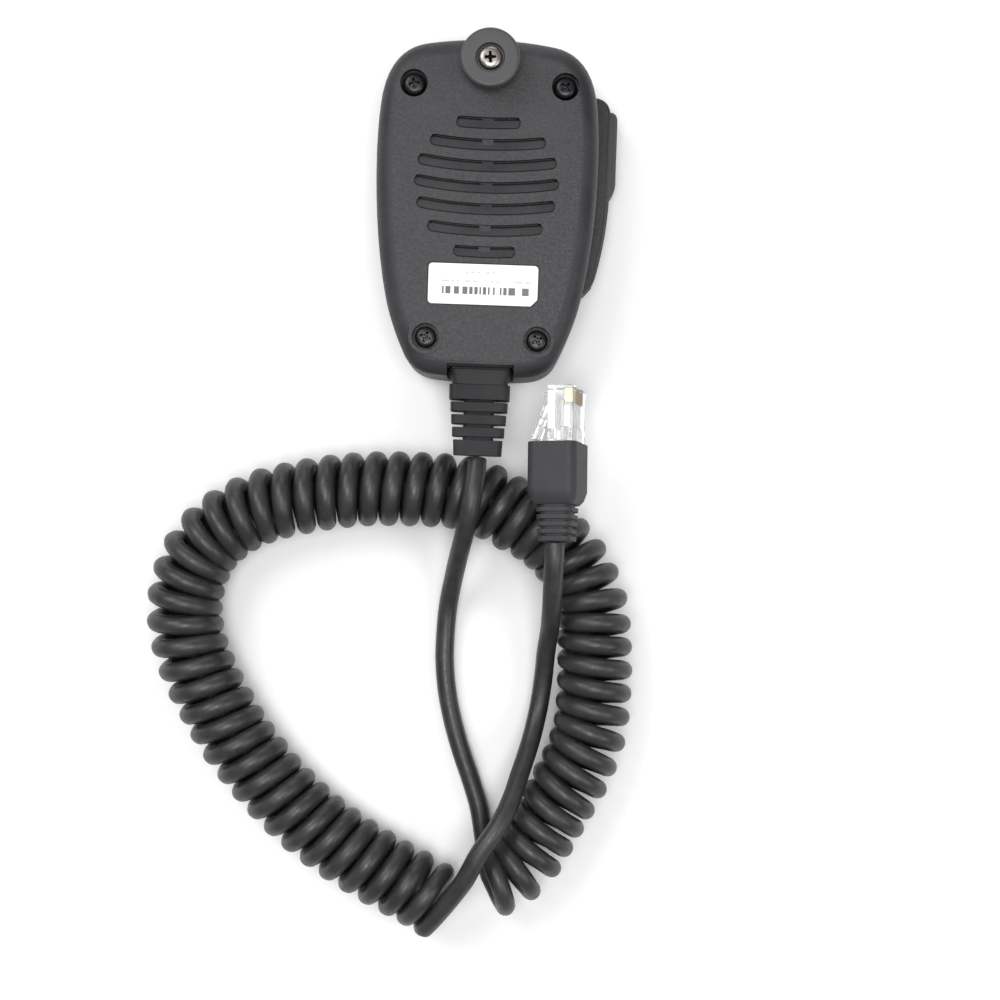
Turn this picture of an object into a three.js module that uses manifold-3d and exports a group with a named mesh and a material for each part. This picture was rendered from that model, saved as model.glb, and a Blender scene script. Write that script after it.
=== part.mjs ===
// Hand microphone with a hang-up stud, a side talk bar, two top keys and a curly cord that ends in an
// 8-way modular plug. Millimetres, +Z up. The microphone lies on its flat front face: the origin is in that
// face, +Y points to the hang-up stud's end and +Z to the back of the case.
import * as THREE from "three";
import { mergeVertices } from "three/addons/utils/BufferGeometryUtils.js";
import Module from "manifold-3d";

const wasm = await Module();
wasm.setup();

// ---- driving dimensions ----
const GAP = 0.3; // clearance between neighbouring pieces
const WALL = 2.0;
const PARTING = 13.4; // height of the joint between the two covers
const BACK_AT_ORIGIN = 27.4; // height of the back face above the origin
const BACK_RISE = 0.061; // the back face climbs towards the head
const EDGE_ROUND = 4.8; // rounding round the back face
const FRONT_ROUND = 1.6; // rounding round the front face
const CURVE_STEPS = 5;

const STUD = { y: 34.8, discRadius: 7.5, discThick: 3.7, recessRadius: 3.5, recessDepth: 1.7, collarRadius: 4.3,
  collarHeight: 3.1, bore: 1.9, headRadius: 2.95, headThick: 1.4, shank: 1.5, nutRadius: 3.2, nutThick: 2.4 };
const CASE_SCREW = { sinkRadius: 3.5, sinkDepth: 2.6, headRadius: 2.75, headThick: 1.7, shank: 1.3, bore: 1.7,
  backPost: 4.4, frontPost: 3.2, tip: 6 };
const CASE_SCREW_PLACES = [[-19.25, 29.5], [19.25, 29.8], [-14.3, -34.4], [14.3, -34.4]];

const LOUVRE = { pitch: 5.42, height: 3.0, radius: 105, bridge: 1.45 };
const BACK_LOUVRES = { firstY: 20.0, lengths: [16.5, 29.7, 35.6, 37.2, 35.6, 29.7, 16.0] };
const FRONT_LOUVRES = { firstY: 31.0, lengths: [17, 26, 29, 26, 17] };

const LABEL = { width: 28, height: 10.3, thick: 0.35, corner: 1, clip: 1.7, y: -20.7, pocket: 0.5 };

const LEVER = { pivotX: 27.3, pivotY: -15, pinRadius: 0.9, bore: 1.25, low: 3.2, high: 10.0 };
const LEVER_POCKET = { xMin: 23.4, yMin: -20.2, yMax: 29.8, low: 2.7, high: 10.5 };
const TALK_SWITCH = { xMin: 15.2, xMax: 23.4, y: 18, width: 8, low: 4.2, high: 10.6, plungerRadius: 1.0 };
const KEY = { x: 4.8, width: 8.8, low: 3.6, high: 8.6, tip: 46.0, flangeY: 38.9, flangeThick: 1.0, lip: 0.5,
  stem: 36.4 };
const KEY_SWITCH = { back: 31.1, front: 35.7, width: 6, plungerRadius: 0.9, plungerTop: 36.1, plungerFoot: 34.4 };

const BOARD = { low: 11.0, thick: 1.6, halfWidth: 15.4, yMin: -30, yMax: 37.2 };
const BOARD_SCREW_PLACES = [[-12.6, -25], [12.6, -25], [-12.6, 3], [12.6, 3]];
const CAPSULE = { y: 20.16, radius: 4.85, low: 3.4, high: 9.6, holderRadius: 7.2 };

const CORD = { diameter: 5.0, coilOuter: 20.0, leadSides: 10, coilSides: 12 };
const RELIEF_NOTCH = { halfWidth: 8.6, low: 8.3, high: 30, yMin: -50, yMax: -40.9 };
const FLANGE = { halfWidth: 10.4, halfHeight: 5.6, from: -41.4, to: -39.2 };
const CLAMP = { y: -35.4, halfLength: 1.9, halfWidth: 7.3, screwX: 5.2, low: 12.9, high: 20.4, channel: 2.9 };
const RELIEF = { y: -42, z: 15.5, tilt: THREE.MathUtils.degToRad(12) };
// The sleeve's parts as [from, to, half width, half height], and its ribs.
const SLEEVE_CORE = [0, 22.8, 3.95, 3.75];
const SLEEVE_BLOCK = [0, 4.3, 8.2, 6.4];
const SLEEVE_BLOCK_END = 7.0; // half width where the block's taper ends
const SLEEVE_COLLAR = [4.0, 8.0, 7.9, 5.6];
const SLEEVE_TIP = [18.75, 22.8, 6.4, 4.6];
const SLEEVE_RIB = { widths: [14.9, 14.3, 13.6], from: 8.7, pitch: 3.35, length: 2.45, flatness: 0.34 };
const SLEEVE_CHAMFER = { block: 0.22, rib: 0.45 };
const SLEEVE_NECK = { halfWidth: 7.6, halfHeight: 5, length: 1.5 };
// The boot's grip as [y, half width, half height], and its thin ribbed neck.
const BOOT_GRIP = [[9.4, 4.6, 5.0], [10.6, 5.9, 5.9], [12.9, 7.1, 6.5], [25.1, 7.1, 6.5]];
const BOOT_MIDDLE = -0.5; // the boot's middle below the lead
const BOOT_CORE = [[0, 3.4, 3.4], [9.6, 4.2, 4.2]];
const BOOT_RIB = { count: 5, from: 0.2, pitch: 1.85, length: 1.1, halfWidth: 4.2, halfHeight: 4.4, growth: 0.1 };
// The plug's body, contacts and latch.
const BODY = { from: 18.0, to: 39.5, halfWidth: 5.85, halfHeight: 3.35, middle: -2.6 };
const CONTACT = { count: 8, pitch: 1.02, thick: 0.36, slot: 0.6, from: 35.2, to: 38.6, low: -5.7, high: -3.5 };
const LATCH = { halfWidth: 3.0, root: 38.3, end: 26.2, thick: 1.2, rise: 3.7 };
const PLUG = { x: 20.55, y: -85.7, z: 28.6, droop: THREE.MathUtils.degToRad(5),
  roll: THREE.MathUtils.degToRad(108), yaw: THREE.MathUtils.degToRad(1.1) };

// ---- worked out from them ----
/** Height of the back face, which slopes. */
const backHeight = (y) => BACK_AT_ORIGIN + BACK_RISE * y;
const STUD_FOOT = backHeight(STUD.y + STUD.collarRadius) + GAP;
const DISC_FOOT = STUD_FOOT + STUD.collarHeight + GAP;
const LEVER_MIDDLE = (LEVER.low + LEVER.high) / 2;
const KEY_MIDDLE = (KEY.low + KEY.high) / 2;

// ---- finishes ----
const finish = (color, roughness, metalness = 0) => new THREE.MeshStandardMaterial({ color, roughness, metalness });
const CASE_PLASTIC = finish(0x3b3c40, 0.62);
const KEY_PLASTIC = finish(0x2c2d30, 0.55);
const RUBBER = finish(0x232325, 0.7);
const BLACK_METAL = finish(0x1c1c1d, 0.4, 0.8);
const BRIGHT_METAL = finish(0xc9c7c0, 0.25, 1);
const GILT = finish(0xd9a84e, 0.25, 1);
const CLEAR = finish(0xdfe6e6, 0.1);
const PAPER = finish(0xe9e9e6, 0.7);
const CLOTH = finish(0x151516, 0.9);
const LAMINATE = finish(0x2c5a3a, 0.5);
const COMPONENT = finish(0x1b1b1d, 0.5);

// ---- solids ----
/** A closed three.js geometry as a manifold solid. */
function solid(geometry) {
  const bare = geometry.clone();
  bare.deleteAttribute("normal");
  bare.deleteAttribute("uv");
  const merged = mergeVertices(bare, 1e-4);
  const vertProperties = new Float32Array(merged.attributes.position.array);
  const triVerts = new Uint32Array(merged.index.array);
  return new wasm.Manifold(new wasm.Mesh({ numProp: 3, vertProperties, triVerts }));
}

/** A manifold solid as a three.js geometry. */
function geometryOf(body) {
  const mesh = body.getMesh();
  const geometry = new THREE.BufferGeometry();
  geometry.setAttribute("position", new THREE.BufferAttribute(mesh.vertProperties, 3));
  geometry.setIndex(new THREE.BufferAttribute(mesh.triVerts, 1));
  geometry.computeVertexNormals();
  return geometry;
}

const join = (bodies) => bodies.reduce((whole, body) => whole.add(body));
const cut = (body, tools) => tools.reduce((rest, tool) => rest.subtract(tool), body);

/** A box between two corners. */
function block(x0, x1, y0, y1, z0, z1) {
  const geometry = new THREE.BoxGeometry(x1 - x0, y1 - y0, z1 - z0);
  return solid(geometry.translate((x0 + x1) / 2, (y0 + y1) / 2, (z0 + z1) / 2));
}

/** A round bar along Z. */
function post(x, y, radius, z0, z1, sides = 20) {
  const geometry = new THREE.CylinderGeometry(radius, radius, z1 - z0, sides);
  return solid(geometry.rotateX(Math.PI / 2).translate(x, y, (z0 + z1) / 2));
}

/** A round bar along Y. */
function barAlongY(x, z, radius, y0, y1, sides = 16) {
  const geometry = new THREE.CylinderGeometry(radius, radius, y1 - y0, sides);
  return solid(geometry.translate(x, (y0 + y1) / 2, z));
}

/** A round bar along X. */
function barAlongX(y, z, radius, x0, x1, sides = 16) {
  const geometry = new THREE.CylinderGeometry(radius, radius, x1 - x0, sides);
  return solid(geometry.rotateZ(Math.PI / 2).translate((x0 + x1) / 2, y, z));
}

/** A shape in the XY plane, made solid from z0 to z1. */
function prism(shape, z0, z1) {
  const settings = { depth: z1 - z0, bevelEnabled: false, curveSegments: CURVE_STEPS };
  const geometry = new THREE.ExtrudeGeometry(shape, settings);
  return solid(geometry.translate(0, 0, z0));
}

/** A rectangle with its corners cut off, centred on the origin. */
function chamferedRectangle(halfWidth, halfHeight, chamfer) {
  const shape = new THREE.Shape();
  shape.moveTo(halfWidth, -halfHeight + chamfer);
  shape.lineTo(halfWidth, halfHeight - chamfer);
  shape.lineTo(halfWidth - chamfer, halfHeight);
  shape.lineTo(-halfWidth + chamfer, halfHeight);
  shape.lineTo(-halfWidth, halfHeight - chamfer);
  shape.lineTo(-halfWidth, -halfHeight + chamfer);
  shape.lineTo(-halfWidth + chamfer, -halfHeight);
  shape.lineTo(halfWidth - chamfer, -halfHeight);
  shape.closePath();
  return shape;
}

/** A chamfered bar along +Y whose section changes from station to station: [y, halfWidth, halfHeight]. */
function taperedBar(stations, chamfer) {
  const options = { depth: 1, steps: stations.length - 1, bevelEnabled: false };
  const geometry = new THREE.ExtrudeGeometry(chamferedRectangle(1, 1, chamfer), options);
  const places = geometry.attributes.position;
  for (let i = 0; i < places.count; i++) {
    const [along, halfWidth, halfHeight] = stations[Math.round(places.getZ(i) * (stations.length - 1))];
    places.setXYZ(i, -places.getX(i) * halfWidth, along, places.getY(i) * halfHeight);
  }
  return solid(geometry);
}

// ---- the case outline ----
/** The right-hand half of the case's outline, from the crown down to the foot. */
function outlineHalf() {
  const path = new THREE.Path();
  path.moveTo(0, 42.0);
  path.bezierCurveTo(6, 42.0, 11.5, 41.5, 16.5, 40.6);
  path.bezierCurveTo(21.5, 39.7, 26.9, 36.0, 27.9, 24.5);
  path.bezierCurveTo(29.1, 13.5, 28.6, -8, 25.1, -24);
  path.bezierCurveTo(23.9, -29.5, 21.9, -34.5, 19.8, -38.8);
  path.bezierCurveTo(18.4, -41.7, 16, -43.2, 12.5, -43.7);
  path.bezierCurveTo(9, -44.1, 4, -44.2, 0, -44.2);
  return path.getPoints(CURVE_STEPS);
}

/** The case's outline moved inwards by a distance. */
function caseOutline(inset) {
  const right = outlineHalf();
  const left = right.slice(1, -1).reverse().map((p) => new THREE.Vector2(-p.x, p.y));
  const ring = right.concat(left);
  const moved = ring.map((p, i) => {
    const before = ring[(i + ring.length - 1) % ring.length];
    const after = ring[(i + 1) % ring.length];
    const along = after.clone().sub(before).normalize();
    return new THREE.Vector2(p.x + along.y * inset, p.y - along.x * inset);
  });
  return new THREE.Shape(moved);
}

/** Stretches a block's height above the parting so that its top follows the sloping back. */
function slopeBack(geometry) {
  const places = geometry.attributes.position;
  for (let i = 0; i < places.count; i++) {
    const share = (backHeight(places.getY(i)) - PARTING) / (BACK_AT_ORIGIN - PARTING);
    places.setZ(i, PARTING + (places.getZ(i) - PARTING) * share);
  }
  return geometry;
}

/** The case's outline, rounded at one end, standing on z0 and reaching z1. */
function roundedCase(inset, height, rounding) {
  const options = { depth: height - rounding, bevelEnabled: true, bevelThickness: rounding, bevelSize: rounding,
    bevelOffset: -rounding, bevelSegments: 3, steps: 1 };
  const geometry = new THREE.ExtrudeGeometry(caseOutline(inset), options);
  return geometry;
}

/** A curved louvre slot on one side of the bridge: side is 1 for +X and -1 for -X. */
function louvreShape(y, length, side) {
  const from = Math.asin(LOUVRE.bridge / LOUVRE.radius);
  const to = Math.asin(length / 2 / LOUVRE.radius);
  const centre = y + LOUVRE.radius;
  const inner = LOUVRE.radius - LOUVRE.height / 2;
  const outer = LOUVRE.radius + LOUVRE.height / 2;
  const at = (radius, turn) => new THREE.Vector2(side * radius * Math.sin(turn), centre - radius * Math.cos(turn));
  const steps = 5;
  const points = [];
  for (let i = 0; i <= steps; i++) points.push(at(outer, from + ((to - from) * i) / steps));
  for (let i = steps; i >= 0; i--) points.push(at(inner, from + ((to - from) * i) / steps));
  return new THREE.Shape(points);
}

/** Cutters for a row of louvres between two heights. */
function louvreCutters(row, z0, z1) {
  return row.lengths.flatMap((length, i) =>
    [-1, 1].map((side) => prism(louvreShape(row.firstY - i * LOUVRE.pitch, length, side), z0, z1)));
}

// ---- the two covers ----
const reliefNotch = () => block(-RELIEF_NOTCH.halfWidth, RELIEF_NOTCH.halfWidth, RELIEF_NOTCH.yMin,
  RELIEF_NOTCH.yMax, RELIEF_NOTCH.low, RELIEF_NOTCH.high);

function rearCover() {
  const below = 20; // the rounded block also has a rounded foot, which the parting plane cuts away
  const outer = roundedCase(0, BACK_AT_ORIGIN - PARTING + below, EDGE_ROUND).translate(0, 0, PARTING - below);
  const inner = roundedCase(WALL, BACK_AT_ORIGIN - PARTING + below - WALL, EDGE_ROUND - 1)
    .translate(0, 0, PARTING - below);
  const keep = block(-60, 60, -60, 60, PARTING, 60);
  let shell = solid(slopeBack(outer)).intersect(keep).subtract(solid(slopeBack(inner)));
  const posts = CASE_SCREW_PLACES.map(([x, y]) =>
    post(x, y, CASE_SCREW.backPost, PARTING + GAP / 2, backHeight(y) - 1));
  shell = join([shell, ...posts]).intersect(solid(slopeBack(
    roundedCase(0, BACK_AT_ORIGIN - PARTING + below, EDGE_ROUND).translate(0, 0, PARTING - below))));
  const sinks = CASE_SCREW_PLACES.map(([x, y]) =>
    post(x, y, CASE_SCREW.sinkRadius, backHeight(y) - CASE_SCREW.sinkDepth, 50, 24));
  const bores = CASE_SCREW_PLACES.map(([x, y]) => post(x, y, CASE_SCREW.bore, 0, 50, 12));
  const top = backHeight(LABEL.y);
  const pocket = solid(new THREE.ExtrudeGeometry(labelShape(GAP), { depth: 5, bevelEnabled: false })
    .rotateX(Math.atan(BACK_RISE)).translate(0, LABEL.y, top - LABEL.pocket));
  const tools = [...sinks, ...bores, post(0, STUD.y, STUD.bore, 10, 60, 16), pocket, reliefNotch(),
    ...louvreCutters(BACK_LOUVRES, 20, 40)];
  return cut(shell, tools);
}

function frontCover() {
  const above = 20;
  const top = PARTING - GAP;
  const outer = solid(roundedCase(0, top + above, FRONT_ROUND).translate(0, 0, FRONT_ROUND));
  const keep = block(-60, 60, -60, 60, -1, top);
  const inner = solid(roundedCase(WALL, top + above, FRONT_ROUND).translate(0, 0, WALL + FRONT_ROUND));
  const posts = [
    ...CASE_SCREW_PLACES.map(([x, y]) => post(x, y, CASE_SCREW.frontPost, 1, top)),
    ...BOARD_SCREW_PLACES.map(([x, y]) => post(x, y, 2.2, 1, BOARD.low - GAP, 14)),
    ...[-1, 1].map((side) => post(side * CLAMP.screwX, CLAMP.y, 2.1, 1, CLAMP.low - GAP, 14)),
  ];
  const housing = leverHousing();
  const bores = [
    ...CASE_SCREW_PLACES.map(([x, y]) => post(x, y, CASE_SCREW.bore, 4, 50, 12)),
    ...BOARD_SCREW_PLACES.map(([x, y]) => post(x, y, 1.2, 4, 50, 10)),
    ...[-1, 1].map((side) => post(side * CLAMP.screwX, CLAMP.y, 1.2, 4, 50, 10)),
  ];
  const keyHoles = [-1, 1].map((side) => block(side * KEY.x - KEY.width / 2 - GAP, side * KEY.x + KEY.width / 2 + GAP,
    KEY.flangeY + 0.1, 60, KEY.low - GAP, KEY.high + GAP));
  const pocket = block(LEVER_POCKET.xMin, 60, LEVER_POCKET.yMin, LEVER_POCKET.yMax, LEVER_POCKET.low,
    LEVER_POCKET.high);
  const shell = join([outer, housing]).intersect(keep).subtract(inner);
  return cut(join([shell, ...posts]), [...bores, ...keyHoles, pocket, reliefNotch(),
    ...louvreCutters(FRONT_LOUVRES, -5, 5)]);
}

// ---- the talk bar ----
/** The bulge of the front cover that frames the talk bar. */
function leverHousing() {
  const shape = new THREE.Shape();
  shape.moveTo(24, 31.0);
  shape.lineTo(28.4, 31.0);
  shape.quadraticCurveTo(31.4, 30.2, 31.8, 27.1);
  shape.lineTo(31.6, 4);
  shape.quadraticCurveTo(31.4, -6, 28.6, -18);
  shape.lineTo(26.5, -20.5);
  shape.lineTo(24, -20.5);
  shape.closePath();
  return prism(shape, 1.2, PARTING - GAP);
}

function leverShape() {
  const shape = new THREE.Shape();
  shape.moveTo(25.9, 27.9);
  shape.lineTo(31.8, 27.9);
  shape.quadraticCurveTo(33.8, 27.9, 33.8, 25.3);
  shape.lineTo(33.8, 8.6);
  shape.quadraticCurveTo(33.6, 6.2, 32.3, 5.2);
  shape.quadraticCurveTo(31.9, -6, 29.3, -16);
  shape.quadraticCurveTo(28.7, -18.2, 27.4, -18.2);
  shape.quadraticCurveTo(25.0, -18.2, 24.8, -15);
  shape.quadraticCurveTo(25.2, -8, 27.6, -4);
  shape.lineTo(27.6, 12);
  shape.lineTo(26.4, 13.4);
  shape.lineTo(26.4, 22.6);
  shape.lineTo(25.9, 23.6);
  shape.closePath();
  return shape;
}

function talkLever() {
  const bar = prism(leverShape(), LEVER.low, LEVER.high);
  return bar.subtract(post(LEVER.pivotX, LEVER.pivotY, LEVER.bore, 0, 20, 16));
}

function talkSwitch() {
  const half = TALK_SWITCH.width / 2;
  const body = block(TALK_SWITCH.xMin, TALK_SWITCH.xMax, TALK_SWITCH.y - half, TALK_SWITCH.y + half,
    TALK_SWITCH.low, TALK_SWITCH.high);
  return body.subtract(barAlongX(TALK_SWITCH.y, LEVER_MIDDLE, TALK_SWITCH.plungerRadius + GAP, 20, 40));
}

// ---- the top keys ----
function topKey(side) {
  const x = side * KEY.x;
  const half = KEY.width / 2;
  const cap = block(x - half, x + half, KEY.flangeY - 0.5, KEY.tip, KEY.low, KEY.high);
  const flange = block(x - half, x + half, KEY.flangeY - KEY.flangeThick, KEY.flangeY, KEY.low - KEY.lip,
    KEY.high + KEY.lip);
  const stem = barAlongY(x, KEY_MIDDLE, 1.4, KEY.stem, KEY.flangeY, 12);
  return join([cap, flange, stem]);
}

function keySwitch(side) {
  const x = side * KEY.x;
  const half = KEY_SWITCH.width / 2;
  const body = block(x - half, x + half, KEY_SWITCH.back, KEY_SWITCH.front, KEY_MIDDLE - half, BOARD.low - GAP);
  return body.subtract(barAlongY(x, KEY_MIDDLE, KEY_SWITCH.plungerRadius + GAP, KEY_SWITCH.front - 2.4, 45, 12));
}

// ---- screws ----
/** A cross-recessed screw pointing down: its head stands on headLow and its shank ends at tip. */
function screw(x, y, headLow, headRadius, headThick, shankRadius, tip) {
  const head = post(x, y, headRadius, headLow, headLow + headThick, 20);
  const shank = post(x, y, shankRadius, tip, headLow + 0.5, 12);
  const slotLength = headRadius * 0.62;
  const slotHalf = headRadius * 0.13;
  const floor = headLow + headThick * 0.45;
  const cross = [
    block(x - slotLength, x + slotLength, y - slotHalf, y + slotHalf, floor, headLow + headThick + 1),
    block(x - slotHalf, x + slotHalf, y - slotLength, y + slotLength, floor, headLow + headThick + 1),
  ];
  return cut(join([head, shank]), cross);
}

const caseScrew = ([x, y]) => screw(x, y, backHeight(y) - CASE_SCREW.sinkDepth + GAP, CASE_SCREW.headRadius,
  CASE_SCREW.headThick, CASE_SCREW.shank, CASE_SCREW.tip);
const boardScrew = ([x, y]) => screw(x, y, BOARD.low + BOARD.thick + GAP, 2.0, 1.3, 0.9, 5);

// ---- the hang-up stud ----

/** A turned ring from its half section, as [radius, z] points round a closed loop. */
function turned(loop, sides) {
  const points = loop.concat([loop[0]]).map(([radius, z]) => new THREE.Vector2(radius, z));
  return solid(new THREE.LatheGeometry(points, sides).rotateX(Math.PI / 2));
}

function hangDisc() {
  const top = STUD.discThick;
  const floor = top - STUD.recessDepth;
  const loop = [[STUD.bore, 0], [6.7, 0], [STUD.discRadius, 0.8], [STUD.discRadius, top - 0.8], [6.9, top],
    [STUD.recessRadius, top], [STUD.recessRadius, floor], [STUD.bore, floor]];
  return turned(loop, 36).translate(0, STUD.y, DISC_FOOT);
}

function hangCollar() {
  const loop = [[STUD.bore, 0], [STUD.collarRadius, 0], [STUD.collarRadius, STUD.collarHeight],
    [STUD.bore, STUD.collarHeight]];
  return turned(loop, 24).translate(0, STUD.y, STUD_FOOT);
}

function hangNut() {
  const low = backHeight(STUD.y) - WALL - 1 - STUD.nutThick;
  return post(0, STUD.y, STUD.nutRadius, low, low + STUD.nutThick, 6)
    .subtract(post(0, STUD.y, STUD.shank + GAP, 0, 60, 16));
}

const hangScrew = () => screw(0, STUD.y, DISC_FOOT + STUD.discThick - STUD.recessDepth + GAP, STUD.headRadius,
  STUD.headThick, STUD.shank, backHeight(STUD.y) - 8);

// ---- the label ----
function labelShape(grow) {
  const w = LABEL.width / 2 + grow;
  const h = LABEL.height / 2 + grow;
  const c = LABEL.corner;
  const shape = new THREE.Shape();
  shape.moveTo(-w + c, -h);
  shape.lineTo(w - LABEL.clip, -h);
  shape.lineTo(w, -h + LABEL.clip);
  shape.lineTo(w, h - c);
  shape.lineTo(w - c, h);
  shape.lineTo(-w + c, h);
  shape.lineTo(-w, h - c);
  shape.lineTo(-w, -h + c);
  shape.closePath();
  return shape;
}

function label() {
  const flat = new THREE.ExtrudeGeometry(labelShape(0), { depth: LABEL.thick, bevelEnabled: false });
  flat.rotateX(Math.atan(BACK_RISE)).translate(0, LABEL.y, backHeight(LABEL.y) - LABEL.pocket + GAP);
  return solid(flat);
}

// ---- inside the case ----

function circuitBoard() {
  const plate = join([
    block(-BOARD.halfWidth, BOARD.halfWidth, BOARD.yMin, BOARD.yMax - 5, BOARD.low, BOARD.low + BOARD.thick),
    block(-12, 12, BOARD.yMax - 6, BOARD.yMax, BOARD.low, BOARD.low + BOARD.thick),
    block(0, 22.6, TALK_SWITCH.y - 6, TALK_SWITCH.y + 6, BOARD.low, BOARD.low + BOARD.thick),
  ]);
  return cut(plate, BOARD_SCREW_PLACES.map(([x, y]) => post(x, y, 1.3, 0, 30, 12)));
}

function cordClamp() {
  const bar = block(-CLAMP.halfWidth, CLAMP.halfWidth, CLAMP.y - CLAMP.halfLength, CLAMP.y + CLAMP.halfLength,
    CLAMP.low, CLAMP.high);
  const channel = join([barAlongY(0, RELIEF.z, CLAMP.channel, -50, -20), block(-CLAMP.channel, CLAMP.channel, -50,
    -20, 10, RELIEF.z)]);
  return cut(bar, [channel, ...[-1, 1].map((side) => post(side * CLAMP.screwX, CLAMP.y, 1.2, 0, 40, 10))]);
}

const clampScrew = (side) => screw(side * CLAMP.screwX, CLAMP.y, CLAMP.high + GAP, 1.9, 1.2, 0.9, 6);

const capsule = () => join([post(0, CAPSULE.y, CAPSULE.radius, CAPSULE.low, CAPSULE.high, 28),
  post(0, CAPSULE.y, CAPSULE.radius - 1.2, CAPSULE.low, CAPSULE.high + 0.5, 20)]);
const capsuleHolder = () => post(0, CAPSULE.y, CAPSULE.holderRadius, CAPSULE.low, CAPSULE.high - 1, 28)
  .subtract(post(0, CAPSULE.y, CAPSULE.radius + GAP, 0, 20, 28));

const frontCloth = () => block(-15.3, 15.3, 7, 33.2, WALL + GAP, CAPSULE.low - 2 * GAP);

function rearCloth() {
  const sheet = new THREE.BoxGeometry(38.6, 37, 0.5);
  sheet.rotateX(Math.atan(BACK_RISE)).translate(0, 3.6, backHeight(3.6) - WALL - GAP - 0.5);
  return solid(sheet);
}

// ---- the strain relief and the cord ----
/** The moulded sleeve, drawn along -Y from the case's foot: it is turned up by its tilt when it is placed. */
function strainRelief() {
  const bar = ([from, to, halfWidth, halfHeight], endWidth = halfWidth, chamfer = SLEEVE_CHAMFER.block) =>
    taperedBar([[from, halfWidth, halfHeight], [to, endWidth, halfHeight * (endWidth / halfWidth)]], chamfer);
  const ribs = SLEEVE_RIB.widths.map((width, i) => {
    const from = SLEEVE_RIB.from + i * SLEEVE_RIB.pitch;
    return bar([from, from + SLEEVE_RIB.length, width / 2, width * SLEEVE_RIB.flatness], width / 2,
      SLEEVE_CHAMFER.rib);
  });
  return join([bar(SLEEVE_BLOCK, SLEEVE_BLOCK_END), bar(SLEEVE_COLLAR), bar(SLEEVE_CORE), bar(SLEEVE_TIP), ...ribs]);
}

/** A round tube along a smooth curve. */
function tube(points, radius, sides, steps) {
  const places = points.map(([x, y, z]) => new THREE.Vector3(x, y, z));
  const route = new THREE.CatmullRomCurve3(places, false, "centripetal");
  const section = new THREE.Shape();
  for (let i = 0; i < sides; i++) {
    const turn = (2 * Math.PI * (i + 0.5)) / sides;
    section[i ? "lineTo" : "moveTo"](radius * Math.cos(turn), radius * Math.sin(turn));
  }
  section.closePath();
  return new THREE.ExtrudeGeometry(section, { steps, extrudePath: route, bevelEnabled: false });
}

// From the strain relief over the coiled stretch, down to the table and along it to the first turn.
const MIC_LEAD_ROUTE = [
  [0, -65.25, 20.45], [-0.2, -69.0, 21.7], [-0.9, -74.5, 23.0], [-1.8, -80, 21.9], [-3.0, -86, 18.0],
  [-4.4, -92, 12.5], [-5.6, -98, 7.2], [-6.6, -104, 3.9], [-7.1, -111, 2.7], [-7.1, -119, 2.6],
  [-6.2, -127, 2.6], [-4.4, -135, 2.6], [-1.9, -143, 2.6], [1.1, -151, 2.6], [3.4, -158, 2.6],
  [4.8, -164, 2.6], [5.9, -169.5, 2.6],
];
// From the last turn over the first lead, across the open middle and over the coiled stretch to the plug.
const PLUG_LEAD_ROUTE = [
  [-6.1, -183.0, 16.2], [-3.1, -179.2, 18.2], [-0.1, -175.0, 20.4], [4.0, -166.8, 22.6], [8.4, -160.1, 22.0],
  [11.7, -153.6, 18.8], [14.1, -146.6, 14.2], [16.6, -138.9, 9.2], [18.4, -130.7, 6.6], [19.4, -122.4, 7.4],
  [19.8, -115.0, 11.0], [20.4, -109.0, 15.9], [20.5, -104.0, 21.3], [20.5, -99.5, 24.8], [20.5, -95.5, 26.9],
  [20.5, -91.8, 28.2], [20.55, -88.6, 28.8], [20.55, -86.1, 28.66],
];
// The middle line of the coiled stretch, round the open loop that it lies in.
const COIL_ROUTE = [
  [12.6, -171.5, 10], [15.2, -169.6, 10], [18.6, -164.6, 10], [22.9, -156.9, 10], [28.3, -146.7, 10],
  [31.9, -136.2, 10], [32.8, -124.6, 10], [32.4, -111.9, 10], [30.7, -100.8, 10], [25.8, -91.2, 10],
  [18.4, -83.8, 10],
  [9.5, -79.1, 10], [-0.4, -74.6, 10], [-10.0, -73.5, 10], [-26.9, -73.7, 10], [-37.7, -74.9, 10],
  [-47.1, -76.8, 10], [-56.6, -79.5, 10], [-65.4, -84.3, 10], [-71.8, -90.9, 10], [-75.2, -99.5, 10],
  [-76.0, -108.0, 10], [-74.3, -116.7, 10], [-71.1, -124.5, 10], [-66.4, -132.8, 10], [-61.3, -140.8, 10],
  [-55.2, -148.2, 10], [-48.1, -155.7, 10], [-39.9, -162.8, 10], [-30.7, -169.1, 10], [-21.0, -174.6, 10],
  [-8.2, -179.4, 10],
];

// ---- the modular plug, drawn along +Y from the boot's thin end, latch side up ----
function plugBoot() {
  const shell = taperedBar(BOOT_GRIP, 0.2);
  const core = taperedBar(BOOT_CORE, 0.3);
  const ribs = [...Array(BOOT_RIB.count).keys()].map((i) => {
    const size = [BOOT_RIB.halfWidth + i * BOOT_RIB.growth, BOOT_RIB.halfHeight + i * BOOT_RIB.growth];
    const from = BOOT_RIB.from + i * BOOT_RIB.pitch;
    return taperedBar([[from, ...size], [from + BOOT_RIB.length, ...size]], 0.2);
  });
  const seat = block(-BODY.halfWidth - GAP, BODY.halfWidth + GAP, BODY.from - GAP, BODY.to,
    BODY.middle - BODY.halfHeight - GAP, BODY.middle + BODY.halfHeight + GAP);
  return join([shell, core, ...ribs]).translate([0, 0, BOOT_MIDDLE]).subtract(seat);
}

const contactX = (i) => (i - (CONTACT.count - 1) / 2) * CONTACT.pitch;

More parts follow.
